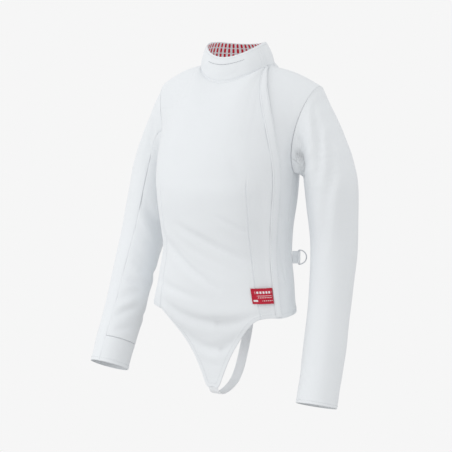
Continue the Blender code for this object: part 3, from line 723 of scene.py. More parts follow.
# whiteKnit's darker colour is the painted shade of the knit's hollows
whiteKnit = knitCloth("whiteKnit", (0.845, 0.870, 0.890), (0.70, 0.73, 0.76))
whiteThread = threadFinish("whiteThread", (0.84, 0.86, 0.88), (0.62, 0.65, 0.68))
greyThread = threadFinish("greyThread", (0.42, 0.44, 0.47), (0.28, 0.30, 0.33))
dashedLining = liningKnit("dashedLining", {
    "columnPitch": 0.0080, "rowPitch": 0.0114, "straightHalf": 0.0030, "dashHalf": 0.0020,
    # groundDark and redDark are the painted shade of the knit's hollows
    "ground": (0.86, 0.88, 0.90), "groundDark": (0.66, 0.69, 0.72),
    # glow is painted light that brightens the lining in the collar's shade
    "red": (0.66, 0.016, 0.040), "redDark": (0.48, 0.012, 0.030), "glow": 0.22,
})
redWoven = wovenLabel("redWoven", {
    # redDark is the painted shade of the weave's hollows
    "red": (0.60, 0.010, 0.040), "redDark": (0.40, 0.006, 0.025), "white": (0.82, 0.80, 0.82),
    "dashShare": 0.62,
    "bars": (  # middle across, middle up, half width, half height, dash length
        (0.002, 0.0070, 0.0200, 0.0022, 0.0072),
        (0.004, 0.0005, 0.0180, 0.0006, 0.0030),
        (0.004, -0.0030, 0.0180, 0.0006, 0.0041),
        (-0.018, -0.0088, 0.0050, 0.0018, 0.0),
        (0.010, -0.0090, 0.0130, 0.0006, 0.0052),
    ),
})
# ribbedWebbing's darker colour is the painted shade between the ribs
ribbedWebbing = webbingFinish("ribbedWebbing", (0.97, 0.98, 0.99), (0.84, 0.87, 0.90))
greySteel = ringMetal("greySteel", (0.80, 0.81, 0.83), (0.55, 0.57, 0.60))
print("finishes made")

# body panels

panelLook = {
    "wall": 0.0014,
    "upperReach": 0.19,          # metres of cloth from the top seam to the chest
    "sideEnd": 0.9995,           # share of the half turn where a panel ends at its side seam
    "closureGap": 0.0013,        # and how far from the closure line both fronts end
    "hemBand": 0.0085,
    "hemRise": 0.0005,
    "dartTops": {"right": -0.215, "left": -0.200},
    "dartFalls": {"right": 0.0, "left": 0.0040},   # how far the cloth drops on the dart's outer side
    "rightDart": np.array([      # v, u
        (0.00, -0.470), (0.60, -0.450), (1.12, -0.428), (1.54, -0.452), (1.75, -0.495), (2.00, -0.512),
    ]),
    "leftDart": np.array([
        (0.00, 0.470), (0.60, 0.462), (1.07, 0.465), (1.22, 0.485), (1.44, 0.500), (1.61, 0.515),
        (1.76, 0.520), (2.00, 0.530),
    ]),
    # folds in metres: three points of each arc (x and height), half width, depth, shoulder share
    "frontFolds": [
        (-0.096, -0.332, -0.040, -0.392, 0.040, -0.428, 0.0095, -0.0056, 0.45),
        (-0.080, -0.322, -0.020, -0.372, 0.060, -0.395, 0.0080, 0.0016, 0.30),
        (-0.050, -0.306, 0.022, -0.336, 0.094, -0.372, 0.0100, -0.0056, 0.45),
        (0.045, -0.284, 0.072, -0.298, 0.098, -0.318, 0.0065, -0.0026, 0.40),
        (-0.104, -0.470, 0.002, -0.528, 0.108, -0.482, 0.0125, -0.0082, 0.50),
        (-0.104, -0.432, -0.060, -0.444, 0.000, -0.452, 0.0090, -0.0032, 0.40),
        (-0.062, -0.530, 0.003, -0.586, 0.066, -0.532, 0.0120, -0.0070, 0.50),
        (-0.040, -0.580, 0.002, -0.600, 0.040, -0.585, 0.0080, -0.0010, 0.40),
        (-0.128, -0.290, -0.118, -0.330, -0.112, -0.372, 0.0080, -0.0016, 0.40),
        (-0.128, -0.400, -0.118, -0.424, -0.100, -0.452, 0.0070, -0.0014, 0.40),
        (-0.110, -0.080, -0.124, -0.120, -0.130, -0.165, 0.0110, -0.0022, 0.40),
        (-0.066, -0.046, -0.020, -0.072, 0.046, -0.056, 0.0110, -0.0014, 0.40),
        (0.062, -0.150, 0.084, -0.180, 0.092, -0.222, 0.0110, -0.0016, 0.40),
    ],
    "leftFolds": [               # (y, height) on the left front, beside the flap
        (-0.062, -0.350, -0.052, -0.392, -0.046, -0.440, 0.0065, -0.0020, 0.40),
        (-0.060, -0.286, -0.046, -0.300, -0.030, -0.318, 0.0075, -0.0014, 0.40),
        (-0.064, -0.400, -0.056, -0.424, -0.050, -0.462, 0.0055, 0.0012, 0.30),
        (-0.040, -0.075, -0.028, -0.110, -0.018, -0.150, 0.0090, -0.0014, 0.40),
    ],
    "backFolds": [               # hidden side: the same kinds of soft waist and shoulder folds
        (-0.105, -0.322, -0.030, -0.352, 0.070, -0.346, 0.0090, -0.0026, 0.45),
        (-0.060, -0.368, 0.020, -0.386, 0.108, -0.362, 0.0090, -0.0024, 0.45),
        (-0.112, -0.392, -0.050, -0.412, 0.020, -0.410, 0.0080, -0.0018, 0.45),
        (-0.090, -0.290, -0.020, -0.306, 0.050, -0.300, 0.0080, -0.0013, 0.40),
        (-0.118, -0.090, -0.105, -0.140, -0.098, -0.190, 0.0110, -0.0024, 0.40),
        (0.118, -0.090, 0.106, -0.135, 0.100, -0.185, 0.0110, -0.0022, 0.40),
        (-0.060, -0.040, 0.000, -0.062, 0.058, -0.042, 0.0110, -0.0012, 0.40),
        (-0.020, -0.430, 0.010, -0.455, 0.030, -0.480, 0.0090, -0.0010, 0.40),
    ],
}


def shares(width, count):
    # count even steps between 0 and 1 with closer ones at both ends of a stretch `width` metres long
    near = np.array((0.0004, 0.0010, 0.0018, 0.0028, 0.0042)) / width
    inner = np.linspace(0.0062 / width, 1 - 0.0062 / width, count)
    return np.concatenate(([0.0], near, inner, 1 - near[::-1], [1.0]))


def panelRows(above, under, hemCount, hemDepth=0.13):
    # v from the top seam to the hem: even rows, then finer and finer ones over the last hemDepth
    start = 0.0015
    top = start + (1 - start) * shares(panelLook["upperReach"], above)
    top = np.concatenate((top[:6 + above], [1.0]))
    middle = np.linspace(1, 2 - hemDepth, under + 1)[1:]
    hem = 2 - hemDepth * (1 - np.linspace(0, 1, hemCount + 1)[1:])**1.25
    return np.concatenate((top, middle, hem))


def armholeNormal(side, ring):
    # shared direction of the two walls that meet at the armhole
    middle = armhole(side, np.array([0.0, 0.25, 0.5, 0.75])).mean(axis=0)
    away = armhole(side, ring) - middle
    away[..., 0] = 0
    away = unit(away)
    away[..., 0] += side * (0.25 + 0.275 * (1 - np.cos(2 * pi * ring)))
    return unit(away)


def panelShape(facing, u, v, folds, across, edges, seed, darts=(), flatSpot=None):
    # outer grid of a panel: body surface + folds + soft waves + rolled seams + raised hem band
    base = softBody(u, v, facing)
    normals = surfaceNormals(lambda a, b: softBody(a, b, facing), u, v, (0.0, facing, 0.15))
    side = np.sign(u)
    toSide = (1 - np.abs(u)) * bodyForm["arcScale"]
    ring = np.clip(np.where(facing < 0, v / 2, 1 - v / 2), 0, 1)
    hole = armholeNormal(-1, ring)
    hole = np.where((side > 0)[..., None], armholeNormal(1, ring), hole)
    nearHole = (bell(toSide, 0.004) * (v <= 1))[..., None]
    nearSide = (bell(toSide, 0.004) * (v > 1))[..., None]
    toTop = v * panelLook["upperReach"]
    nearTop = (bell(toTop, 0.004) * (np.abs(u) > bodyForm["dartU"]))[..., None]
    normals = unit(normals * (1 - nearHole) + hole * nearHole)
    normals = unit(normals * (1 - nearSide) + points(side, 0 * u, 0 * u) * nearSide)
    normals = unit(normals * (1 - nearTop) + unit(points(0.24 * side, 0 * u, 1 + 0 * u)) * nearTop)
    x, z = base[..., across], base[..., 2]
    hemLine = base[-1]
    toHem = distanceTo(base, hemLine)
    calm = ease(toHem / 0.020)
    for gap in edges(u, v):
        calm = calm * ease((gap - 0.002) / 0.014)
    if flatSpot:
        spotX, spotZ, reachX, reachZ = flatSpot
        calm = calm * (1 - np.exp(-((x - spotX) / reachX)**4 - ((z - spotZ) / reachZ)**4))
    lift = (foldField(x, z, folds) + softWaves(x, z, 0.085, 0.0009, seed)) * calm
    for line, topZ, fall in darts:
        gap = (u - np.interp(v, line[:, 0], line[:, 1])) * bodyForm["arcScale"]
        run = ease((topZ - z) / 0.030)
        lip = bell(np.abs(gap) - 0.0026, 0.0014)
        beyond = np.maximum(gap, 0)
        drop = (1 - np.exp(-beyond / 0.011)) * (1 - ease((beyond - 0.026) / 0.022))
        lift -= fall * ease((topZ - z) / 0.060) * drop
        groove = -0.0015 * bell(gap, 0.0010) + 0.0004 * lip
        lift += run * (groove - 0.0012 * bell(gap, 0.0075))
    for gap in edges(u, v):
        lift += rolledEdge(gap, 0.0003)
    lift += panelLook["hemRise"] * (1 - ease((toHem - panelLook["hemBand"]) / 0.0010))
    lift -= 0.0006 * bell(toHem, 0.0008)
    return base + normals * lift[..., None], normals, toHem


def panelUv(u, base):
    return np.stack((u * bodyForm["arcScale"], base[..., 2]), -1)


def frontMainPiece():
    v = panelRows(72, 84, 40)
    look = panelLook
    right = np.interp(v, look["rightDart"][:, 0], look["rightDart"][:, 1])[:, None]
    left = np.interp(v, look["leftDart"][:, 0], look["leftDart"][:, 1])[:, None]
    side = -look["sideEnd"]
    close = (closureLine(v) - look["closureGap"])[:, None]
    left = np.minimum(left, close - 0.0005)
    first, second, third = shares(0.110, 34), shares(0.205, 74), shares(0.072, 24)
    u = np.concatenate((side + (right - side) * first, right + (left - right) * second[1:],
                        left + (close - left) * third[1:]), 1)
    v = np.repeat(v[:, None], u.shape[1], 1)

    def edges(a, b):
        scale = bodyForm["arcScale"]
        toClosure = closureLine(b) - look["closureGap"] - a
        return ((a - side) * scale, toClosure * scale, b * look["upperReach"])

    darts = [(look[word + "Dart"], look["dartTops"][word], look["dartFalls"][word])
             for word in ("right", "left")]
    outer, normals, toHem = panelShape(-1, u, v, look["frontFolds"], 0, edges, 3, darts,
                                       (0.112, -0.440, 0.028, 0.024))
    piece = clothShell("frontMain", outer, normals, look["wall"], whiteKnit,
                       ("front_main",), panelUv(u, outer))
    return outer, normals, toHem, u, v


def frontLeftPiece():
    v = panelRows(72, 84, 40)
    gap, stop = panelLook["closureGap"], panelLook["sideEnd"]
    start = (closureLine(v) + gap)[:, None]
    u = start + (stop - start) * shares(0.05, 34)
    v = np.repeat(v[:, None], u.shape[1], 1)

    def edges(a, b):
        scale = bodyForm["arcScale"]
        return ((stop - a) * scale, (a - closureLine(b) - gap) * scale, b * panelLook["upperReach"])

    outer, normals, toHem = panelShape(-1, u, v, panelLook["leftFolds"], 1, edges, 5)
    piece = clothShell("frontLeft", outer, normals, panelLook["wall"], whiteKnit,
                       ("front_left",), panelUv(u, outer))
    return outer, normals, toHem, u, v


def backPiece():
    v = panelRows(60, 66, 22, 0.09)
    corner = bodyForm["dartU"]
    end = panelLook["sideEnd"]
    sides = shares(0.110, 30)
    u = np.concatenate((-end + (end - corner) * sides, np.linspace(-corner, corner, 76)[1:-1],
                        corner + (end - corner) * sides))
    u, v = np.meshgrid(u, v)

    def edges(a, b):
        scale = bodyForm["arcScale"]
        return ((end - np.abs(a)) * scale, b * panelLook["upperReach"])

    outer, normals, toHem = panelShape(1, u, v, panelLook["backFolds"], 0, edges, 8)
    piece = clothShell("backPanel", outer, normals, panelLook["wall"], whiteKnit,
                       ("back",), panelUv(u, outer))
    return outer, normals, toHem, u, v


frontMain = frontMainPiece()
frontLeft = frontLeftPiece()
backPanel = backPiece()
print("body panels made")

# sleeves

sleeveLook = {
    "right": {
        "frontSeam": np.array([(0.0, 0.33), (0.6, 0.305), (1.3, 0.280), (2.0, 0.252)]),
        "backSeam": np.array([(0.0, 0.70), (1.0, 0.70), (2.0, 0.70)]),
        "outerCut": (0.20, 0.63), "outerArea": 0.102, "innerCut": (0.14, 0.42), "innerArea": 0.055,
        "cuffCut": (0.112, 0.053),
        # folds: ring and v of three points, half width and depth in metres, shoulder share
        "outerFolds": [
            (0.262, 0.20, 0.285, 0.50, 0.262, 0.86, 0.0120, -0.0040, 0.50),
            (0.190, 0.40, 0.215, 0.90, 0.200, 1.45, 0.0130, -0.0018, 0.45),
            (0.110, 0.30, 0.150, 0.62, 0.160, 1.10, 0.0150, -0.0014, 0.40),
            (0.080, 1.20, 0.100, 1.50, 0.120, 1.85, 0.0120, -0.0010, 0.40),
            (-0.10, 0.35, -0.14, 0.80, -0.12, 1.20, 0.0150, -0.0026, 0.45),
            (-0.20, 0.80, -0.18, 1.20, -0.22, 1.60, 0.0120, -0.0020, 0.45),
        ],
        "innerFolds": [
            (0.305, 1.090, 0.370, 1.120, 0.470, 1.190, 0.0120, -0.0061, 0.45),
            (0.310, 1.170, 0.380, 1.200, 0.480, 1.270, 0.0090, 0.0027, 0.30),
            (0.300, 1.300, 0.360, 1.330, 0.470, 1.360, 0.0110, -0.0034, 0.45),
            (0.320, 1.370, 0.390, 1.385, 0.500, 1.420, 0.0100, -0.0044, 0.45),
            (0.320, 1.455, 0.380, 1.475, 0.480, 1.470, 0.0095, -0.0044, 0.45),
            (0.315, 1.545, 0.370, 1.530, 0.460, 1.505, 0.0090, -0.0034, 0.45),
            (0.295, 1.620, 0.370, 1.600, 0.460, 1.535, 0.0095, 0.0031, 0.30),
            (0.300, 1.690, 0.365, 1.640, 0.460, 1.585, 0.0100, -0.0048, 0.45),
            (0.320, 1.790, 0.375, 1.765, 0.460, 1.730, 0.0095, -0.0034, 0.45),
            (0.560, 1.120, 0.610, 1.180, 0.680, 1.200, 0.0110, -0.0044, 0.45),
            (0.550, 1.400, 0.600, 1.380, 0.680, 1.430, 0.0110, -0.0044, 0.45),
            (0.560, 1.600, 0.620, 1.640, 0.680, 1.620, 0.0100, -0.0034, 0.45),
        ],
    },
    "left": {
        "frontSeam": np.array([(0.0, 0.43), (1.0, 0.44), (2.0, 0.44)]),
        "backSeam": np.array([(0.0, 0.72), (1.0, 0.72), (2.0, 0.72)]),
        "outerCut": (0.23, 0.63), "outerArea": 0.125, "innerCut": (0.11, 0.42), "innerArea": 0.040,
        "cuffCut": (0.072, 0.053),
        "outerFolds": [
            (0.410, 0.060, 0.380, 0.380, 0.400, 0.760, 0.0085, -0.0125, 0.15),
            (0.330, 0.060, 0.345, 0.300, 0.350, 0.640, 0.0120, -0.0085, 0.30),
            (0.185, 0.160, 0.235, 0.450, 0.300, 0.900, 0.0120, 0.0046, 0.30),
            (0.138, 0.180, 0.185, 0.520, 0.262, 1.020, 0.0110, -0.0050, 0.45),
            (0.140, 0.470, 0.195, 0.720, 0.270, 1.100, 0.0100, 0.0040, 0.30),
            (0.100, 0.520, 0.150, 0.850, 0.220, 1.180, 0.0110, -0.0038, 0.45),
            (0.115, 0.860, 0.165, 1.020, 0.225, 1.300, 0.0100, 0.0032, 0.30),
            (0.060, 0.700, 0.090, 1.100, 0.110, 1.600, 0.0140, -0.0018, 0.45),
            (0.330, 0.750, 0.350, 1.000, 0.330, 1.300, 0.0100, -0.0018, 0.45),
            (0.240, 1.350, 0.215, 1.600, 0.225, 1.900, 0.0120, -0.0010, 0.45),
            (-0.10, 0.30, -0.13, 0.70, -0.12, 1.20, 0.0150, -0.0024, 0.45),
            (-0.19, 0.80, -0.17, 1.25, -0.20, 1.70, 0.0120, -0.0018, 0.45),
        ],
        "innerFolds": [
            (0.460, 1.120, 0.560, 1.160, 0.700, 1.130, 0.0110, -0.0028, 0.45),
            (0.450, 1.300, 0.560, 1.270, 0.680, 1.320, 0.0100, -0.0024, 0.45),
            (0.460, 1.420, 0.580, 1.450, 0.700, 1.430, 0.0110, -0.0026, 0.45),
            (0.460, 1.620, 0.560, 1.600, 0.690, 1.640, 0.0100, -0.0020, 0.45),
            (0.470, 1.780, 0.580, 1.800, 0.680, 1.770, 0.0100, -0.0014, 0.45),
        ],
    },
    "ringScale": 0.275,          # metres round the sleeve
    "capReach": 0.2,             # metres of cloth from the armhole to the arm
    "hemBand": 0.010,
}


def sleevePanel(name, side, low, high, vLine, columns, folds, seed, node):
    look = sleeveLook
    reach = armReach(armForm["left" if side > 0 else "right"])
    clear = 0.0001 / look["ringScale"]
    start = (curveThrough(vLine, low[:, 0], low[:, 1]) + clear)[:, None]
    stop = (curveThrough(vLine, high[:, 0], high[:, 1]) - clear)[:, None]
    ring = start + (stop - start) * shares(0.13, columns)
    v = np.repeat(vLine[:, None], ring.shape[1], 1)
    base = sleeveSurface(side, ring, v)
    toHole = v * look["capReach"]
    under = (1 - np.cos(2 * pi * ring)) / 2 * bell(toHole, 0.003)
    base[..., 0] += side * (0.0001 + 0.0004 * under)
    middle = armFrame(side, np.clip(v, 1, 2))[0]
    normals = surfaceNormals(lambda a, b: sleeveSurface(side, a, b), ring, v, base - middle)
    near = bell(toHole, 0.004)[..., None]
    normals = unit(normals * (1 - near) + armholeNormal(side, ring) * near)
    across = ring * look["ringScale"]
    along = v * reach
    rows = [(a * look["ringScale"], b * reach, c * look["ringScale"], d * reach, e * look["ringScale"],
             f * reach, w, depth, shoulder) for a, b, c, d, e, f, w, depth, shoulder in folds]
    calm = ease(toHole / 0.020)
    lift = foldField(across, along, rows) + softWaves(across, along, 0.09, 0.0008, seed)
    toHem = (2 - v) * reach
    if vLine[-1] == 2.0:
        calm = calm * ease(toHem / 0.02)
        lift = lift * calm
        lift += 0.0005 * (1 - ease((toHem - look["hemBand"]) / 0.0010))
        lift -= 0.0006 * bell(toHem, 0.0008)
    else:
        toEnd = (vLine[-1] - v) * reach
        lift = lift * calm * ease(toEnd / 0.015) + rolledEdge(toEnd, 0.0007)
    if vLine[0] > 1:
        lift += rolledEdge((v - vLine[0]) * reach, 0.0007)
    else:
        lift += rolledEdge(toHole, 0.0003)
    for gap in ((ring - start) * look["ringScale"], (stop - ring) * look["ringScale"]):
        lift += rolledEdge(gap)
    outer = base + normals * lift[..., None]
    uv = np.stack((across, along), -1)
    piece = clothShell(name, outer, normals, panelLook["wall"], whiteKnit, (node,), uv)
    return outer, normals, toHem, ring, v


def sleevePieces(side, seed):
    word = "left" if side > 0 else "right"
    look = sleeveLook[word]
    arm = armForm[word]
    reach = armReach(arm)
    lastStretch = np.linalg.norm(arm[-1, :3] - arm[-2, :3])
    cuffV = 2 - armForm["cuffHeight"] / lastStretch / (len(arm) - 1)
    cap = 0.004 + 0.996 * shares(0.21, 56)[:-6]
    down = np.linspace(1, 2 - 0.030 / reach, 84)
    hem = np.linspace(2 - 0.030 / reach, 2, 30)[1:]
    full = np.concatenate((cap, down, hem))
    toCuff = cuffV - 0.0005 / reach
    short = np.concatenate((cap, np.linspace(1, toCuff - 0.006 / reach, 82),
                            toCuff - np.array((0.0042, 0.0028, 0.0018, 0.0010, 0.0004, 0.0)) / reach))
    cuffRows = cuffV + 0.0004 / reach + (2 - cuffV - 0.0004 / reach) * shares(armForm["cuffHeight"], 34)
    cuffRows[-1] = 2.0
    back = look["backSeam"] - np.array((0.0, 1.0))
    title = word.capitalize()
    outer = sleevePanel("sleeveOuter" + title, side, back, look["frontSeam"], full, 84, look["outerFolds"],
                        seed, f"sleeve_{word}_outer")
    inner = sleevePanel("sleeveInner" + title, side, look["frontSeam"], look["backSeam"], short, 56,
                        look["innerFolds"], seed + 1, f"sleeve_{word}_inner")
    cuff = sleevePanel("cuffBand" + title, side, look["frontSeam"], look["backSeam"], cuffRows, 56, [],
                       seed + 2, f"cuff_{word}")
    return outer, inner, cuff


rightSleeve = sleevePieces(-1, 20)
leftSleeve = sleevePieces(1, 30)
print("sleeves made")

# collar

collarLook = {
    "wall": 0.0013,
    "columns": 250,
    "rows": 40,
    "lining": (52, 404, 0.0026, 0.0009),    # degrees from and to, inwards, wall
    "folds": [                              # arc length and height in metres from the band's start
        (0.30, 0.006, 0.335, 0.018, 0.350, 0.034, 0.0060, -0.0009, 0.35),
        (0.35, 0.004, 0.375, 0.012, 0.405, 0.020, 0.0060, -0.0009, 0.35),
        (0.27, 0.010, 0.285, 0.024, 0.290, 0.044, 0.0070, -0.0008, 0.35),
        (0.10, 0.010, 0.125, 0.028, 0.120, 0.048, 0.0080, -0.0009, 0.35),
        (0.18, 0.006, 0.200, 0.022, 0.230, 0.030, 0.0080, -0.0008, 0.35),
    ],
    "radius": 0.066,
    "height": 0.052,
    "frontLine": ((333, 0.69), (352, 0.695), (372, 0.705), (388, 0.705), (402, 0.70)),
}


def collarPiece():
    form, look = collarForm, collarLook
    span = np.radians(form["upperEnd"] - form["underEnd"])
    turnLine = np.radians(form["underEnd"]) + span * shares(span * look["radius"], look["columns"])
    turn, share = np.meshgrid(turnLine, shares(look["height"], look["rows"]))
    lap = ease((turn - radians(form["lapStart"])) / radians(20))
    across = (turn - turnLine[0]) * look["radius"]
    up = share * look["height"]
    lift = foldField(across, up, look["folds"]) + softWaves(across, up, 0.05, 0.0006, 41)
    ends = np.minimum(turn - turnLine[0], turnLine[-1] - turn) * look["radius"]
    lift *= ease(up / 0.012) * ease((look["height"] - up) / 0.012) * ease(ends / 0.01)
    for gap, depth in ((up, 0.0002), (look["height"] - up, 0.0005), (ends, 0.0005)):
        lift += rolledEdge(gap, depth, 0.0013)
    edge = ease(1 - (turnLine[-1] - turn) * look["radius"] / 0.012)
    outer = collarSurface(turn, share, lap * form["lapLift"] + lift + 0.0011 * edge)
    normals = collarNormal(turn)
    piece = clothShell("collarBand", outer, normals, look["wall"], whiteKnit, ("collar",),
                       np.stack((across, up), -1))
    return outer, normals, turn, share


def collarLiningPiece():
    start, stop, inwards, wall = collarLook["lining"]
    turn, share = np.meshgrid(np.radians(np.linspace(start, stop, 190)), np.linspace(0, 1, 26))
    across, up = turn * 0.0585, share * collarLook["height"]
    lift = softWaves(across, up, 0.05, 0.0003, 44) - inwards
    outer = collarSurface(turn, 0.015 + share * 0.965, lift)
    rises = np.linalg.norm(np.diff(outer, axis=0), axis=-1)
    up = -np.concatenate((np.cumsum(rises[::-1], 0)[::-1], np.zeros((1, turn.shape[1]))))
    normals = collarNormal(turn)
    piece = clothShell("collarLining", outer, normals, wall, dashedLining,
                       ("collar_lining",), np.stack((across, up), -1))


collarBand = collarPiece()
collarLiningPiece()
print("collar made")

# flap, label, strap, ring

trimLook = {
    "flapWidth": 0.020,
    "flapRows": (0.06, 1.985),
    "flapStand": 0.0016,         # how far the flap's free edge stands off the left front near the top
    "flapLength": 0.44,
    "flapLift": 0.0021,          # from the fronts' base surface to the flap's outer face
    "flapWall": 0.0011,
    "labelSize": (0.052, 0.030),
    "labelWall": 0.0006,
    "labelU": (0.472, 0.706),
    "labelZ": (-0.425, -0.455),
    "strapWidth": 0.022,
    "strapThickness": 0.0016,
    "ringWire": 0.0024,
    "ringBar": 0.0286,
    "ringReach": 0.0158,
    "ringCorner": 0.0012,
    "barOut": 0.0142,
    "tabWidth": 0.025,
    "tabThickness": 0.00118,
    "tabZ": -0.380,
    "tabTurn": 122,              # degrees from the front towards the wearer's left
    "tabFoot": 0.0011,
    "loopRadius": 0.00275,
}


def flapPiece():
    look = trimLook
    top, bottom = look["flapRows"]
    vLine = top + (bottom - top) * shares(look["flapLength"], 210)
    share, v = np.meshgrid(shares(look["flapWidth"], 14), vLine)
    width = look["flapWidth"] / 0.215 * (0.55 + 0.45 * ease(v / 0.5))
    u = closureLine(v) + 0.010 + (share - 1) * width
    base = softBody(u, v, -1)
    normals = surfaceNormals(lambda a, b: softBody(a, b, -1), u, v, (0.0, -1.0, 0.15))
    free = 1 - ease((v - 0.35) / 0.75)
    lift = look["flapLift"] + look["flapStand"] * share**2 * free + 0.0006 * share**2
    lift += 0.0007 * np.sin(pi * share) + softWaves(base[..., 0], base[..., 2], 0.06, 0.0004, 51)
    gap = np.minimum(share, 1 - share) * look["flapWidth"]
    lift += rolledEdge(gap, 0.0006, 0.0011)
    lift -= 0.00025 * bell(gap - 0.0022, 0.0009)
    outer = base + normals * lift[..., None]
    piece = clothShell("closureFlap", outer, normals, look["flapWall"], whiteKnit,
                       ("placket_flap",), panelUv(u, base))
    return outer, normals, share


def labelPiece():
    look = trimLook
    wide, high = look["labelSize"]
    share = shares(wide, 60)
    first, last = look["labelU"]
    top, bottom = look["labelZ"]
    u, rise = np.meshgrid(first + (last - first) * share, shares(high, 24))
    z = top + (bottom - top) * rise
    base = bodySection(u * pi / 2, z)
    across = bodySection((u + 0.01) * pi / 2, z) - base
    down = bodySection(u * pi / 2, z - 0.005) - base
    normals = unit(np.cross(across, down))
    normals *= -np.sign(normals[..., 1].mean())
    far = np.repeat(share[None, :], len(rise), 0)
    wave = 0.0004 * np.sin(9 * far + 4 * rise) + 0.0003 * np.sin(17 * rise + 3)
    corner = bell(1 - far, 0.10) * (rise**2 + (1 - rise)**2)
    outer = base + normals * (0.0014 + wave + 0.0012 * corner)[..., None]
    uv = np.stack(((far - 0.5) * wide, (0.5 - rise) * high), -1)
    piece = clothShell("hemLabel", outer, normals, look["labelWall"], redWoven,
                       ("hem_label",), uv)
    return outer, normals


def closedSweep(path, aside, above, profile, cyclic):
    # each path point carries the profile: p + x aside + y above; triangles, ends closed by a middle point
    ring = path[:, None] + profile[None, :, :1] * aside[:, None] + profile[None, :, 1:] * above[:, None]
    rows, columns = ring.shape[:2]
    row = np.arange(rows if cyclic else rows - 1)[:, None]
    column = np.arange(columns)[None, :]
    ahead, beside = (row + 1) % rows, (column + 1) % columns
    a, b = row * columns + column, row * columns + beside
    c, d = ahead * columns + beside, ahead * columns + column
    faces = [np.stack((a, b, c), -1).reshape(-1, 3), np.stack((a, c, d), -1).reshape(-1, 3)]
    vertices = ring.reshape(-1, 3)
    if not cyclic:
        count = len(vertices)
        vertices = np.concatenate((vertices, path[[0, -1]]))
        k = np.arange(columns)
        follow = (k + 1) % columns
        last = (rows - 1) * columns
        faces += [np.stack((follow, k, k * 0 + count), -1),
                  np.stack((k + last, follow + last, k * 0 + count + 1), -1)]
    return vertices, np.concatenate(faces)


def flatProfile(width, thickness, edge=9):
    # a flat band with round edges: half circles joined by straight sides
    half = width / 2 - thickness / 2
    a = np.linspace(-pi / 2, pi / 2, edge)
    right = np.stack((half + thickness / 2 * np.cos(a), thickness / 2 * np.sin(a)), -1)
    top = np.stack((np.linspace(half, -half, 14)[1:-1], np.full(12, thickness / 2)), -1)
    left = -right
    return np.concatenate((right, top, left, -top))


def sweptPiece(name, path, aside, profile, finish, nodes, cyclic=False, body="jacket"):
    if cyclic:
        along = np.roll(path, -1, 0) - np.roll(path, 1, 0)
    else:
        along = np.gradient(path, axis=0)
    aside = np.broadcast_to(aside, path.shape)
    above = unit(np.cross(unit(along), aside))
    vertices, faces = closedSweep(path, aside, above, profile, cyclic)
    mesh = fillMesh(name, vertices, faces)
    length = arcLengths(path)
    uv = np.stack(np.broadcast_arrays(profile[None, :, 0], length[:, None]), -1).reshape(-1, 2)
    layUv(mesh, np.concatenate((uv, uv[:2]))[:len(vertices)])
    turnOutwards(mesh)
    return finishPiece(name, mesh, finish, body, nodes)


def strapPiece():
    look = trimLook
    tipY = float(bodySection(np.array(0.0), np.array(-0.638))[1])
    backY = float(bodySection(np.array(pi), np.array(bodyForm["backHemZ"]))[1])
    behind = 0.0029 + look["strapThickness"] / 2  # wall, seam gap and room for the strap's bend
    route = np.array([           # y and height, from behind the tongue's end to inside the back hem
        (tipY + behind + 0.0075, -0.6180), (tipY + behind, -0.6380), (tipY + 0.0130, -0.6520),
        (tipY + 0.0420, -0.6560), (tipY + 0.0900, -0.6380), (backY - 0.0260, -0.5750),
        (backY - 0.0075, -0.5150), (backY - behind - 0.0010, -0.4860), (backY - behind - 0.0028, -0.4650),
    ])
    length = arcLengths(route)
    along = np.linspace(0, length[-1], 190)
    path = points(0.0, curveThrough(along, length, route[:, 0]), curveThrough(along, length, route[:, 1]))
    piece = sweptPiece("crotchStrap", path, np.array((1.0, 0.0, 0.0)),
                       flatProfile(look["strapWidth"], look["strapThickness"]), ribbedWebbing,
                       ("crotch_strap",))


def ringPlace():
    # the tab's foot on the cloth and its outward direction
    turn = np.array(radians(trimLook["tabTurn"]))
    z = np.array(trimLook["tabZ"])
    foot = bodySection(turn, z)
    along = bodySection(turn + 0.01, z) - bodySection(turn - 0.01, z)
    out = unit(np.array((along[1], -along[0], 0.0)))
    return foot, out * (1 if out[0] > 0 else -1)


def tabPiece():
    look = trimLook
    foot, out = ringPlace()
    beside = np.array((-out[1], out[0], 0.0))
    stem = 0.00066
    joint = np.arcsin(stem / look["loopRadius"])
    bow = np.linspace(-pi + joint, pi - joint, 40)
    leg = np.linspace(look["tabFoot"] + 0.0004, look["barOut"] - look["loopRadius"] * cos(joint), 14)[:-1]
    flat = np.concatenate((np.stack((leg, 0 * leg - stem), -1),
                           np.stack((look["barOut"] + look["loopRadius"] * np.cos(bow),
                                     look["loopRadius"] * np.sin(bow)), -1),
                           np.stack((leg[::-1], 0 * leg + stem), -1)))
    path = foot + flat[:, :1] * out + flat[:, 1:] * beside
    profile = flatProfile(look["tabWidth"], look["tabThickness"])
    piece = sweptPiece("ringTab", path, np.array((0.0, 0.0, 1.0)), profile, ribbedWebbing,
                       ("ring_tab",))


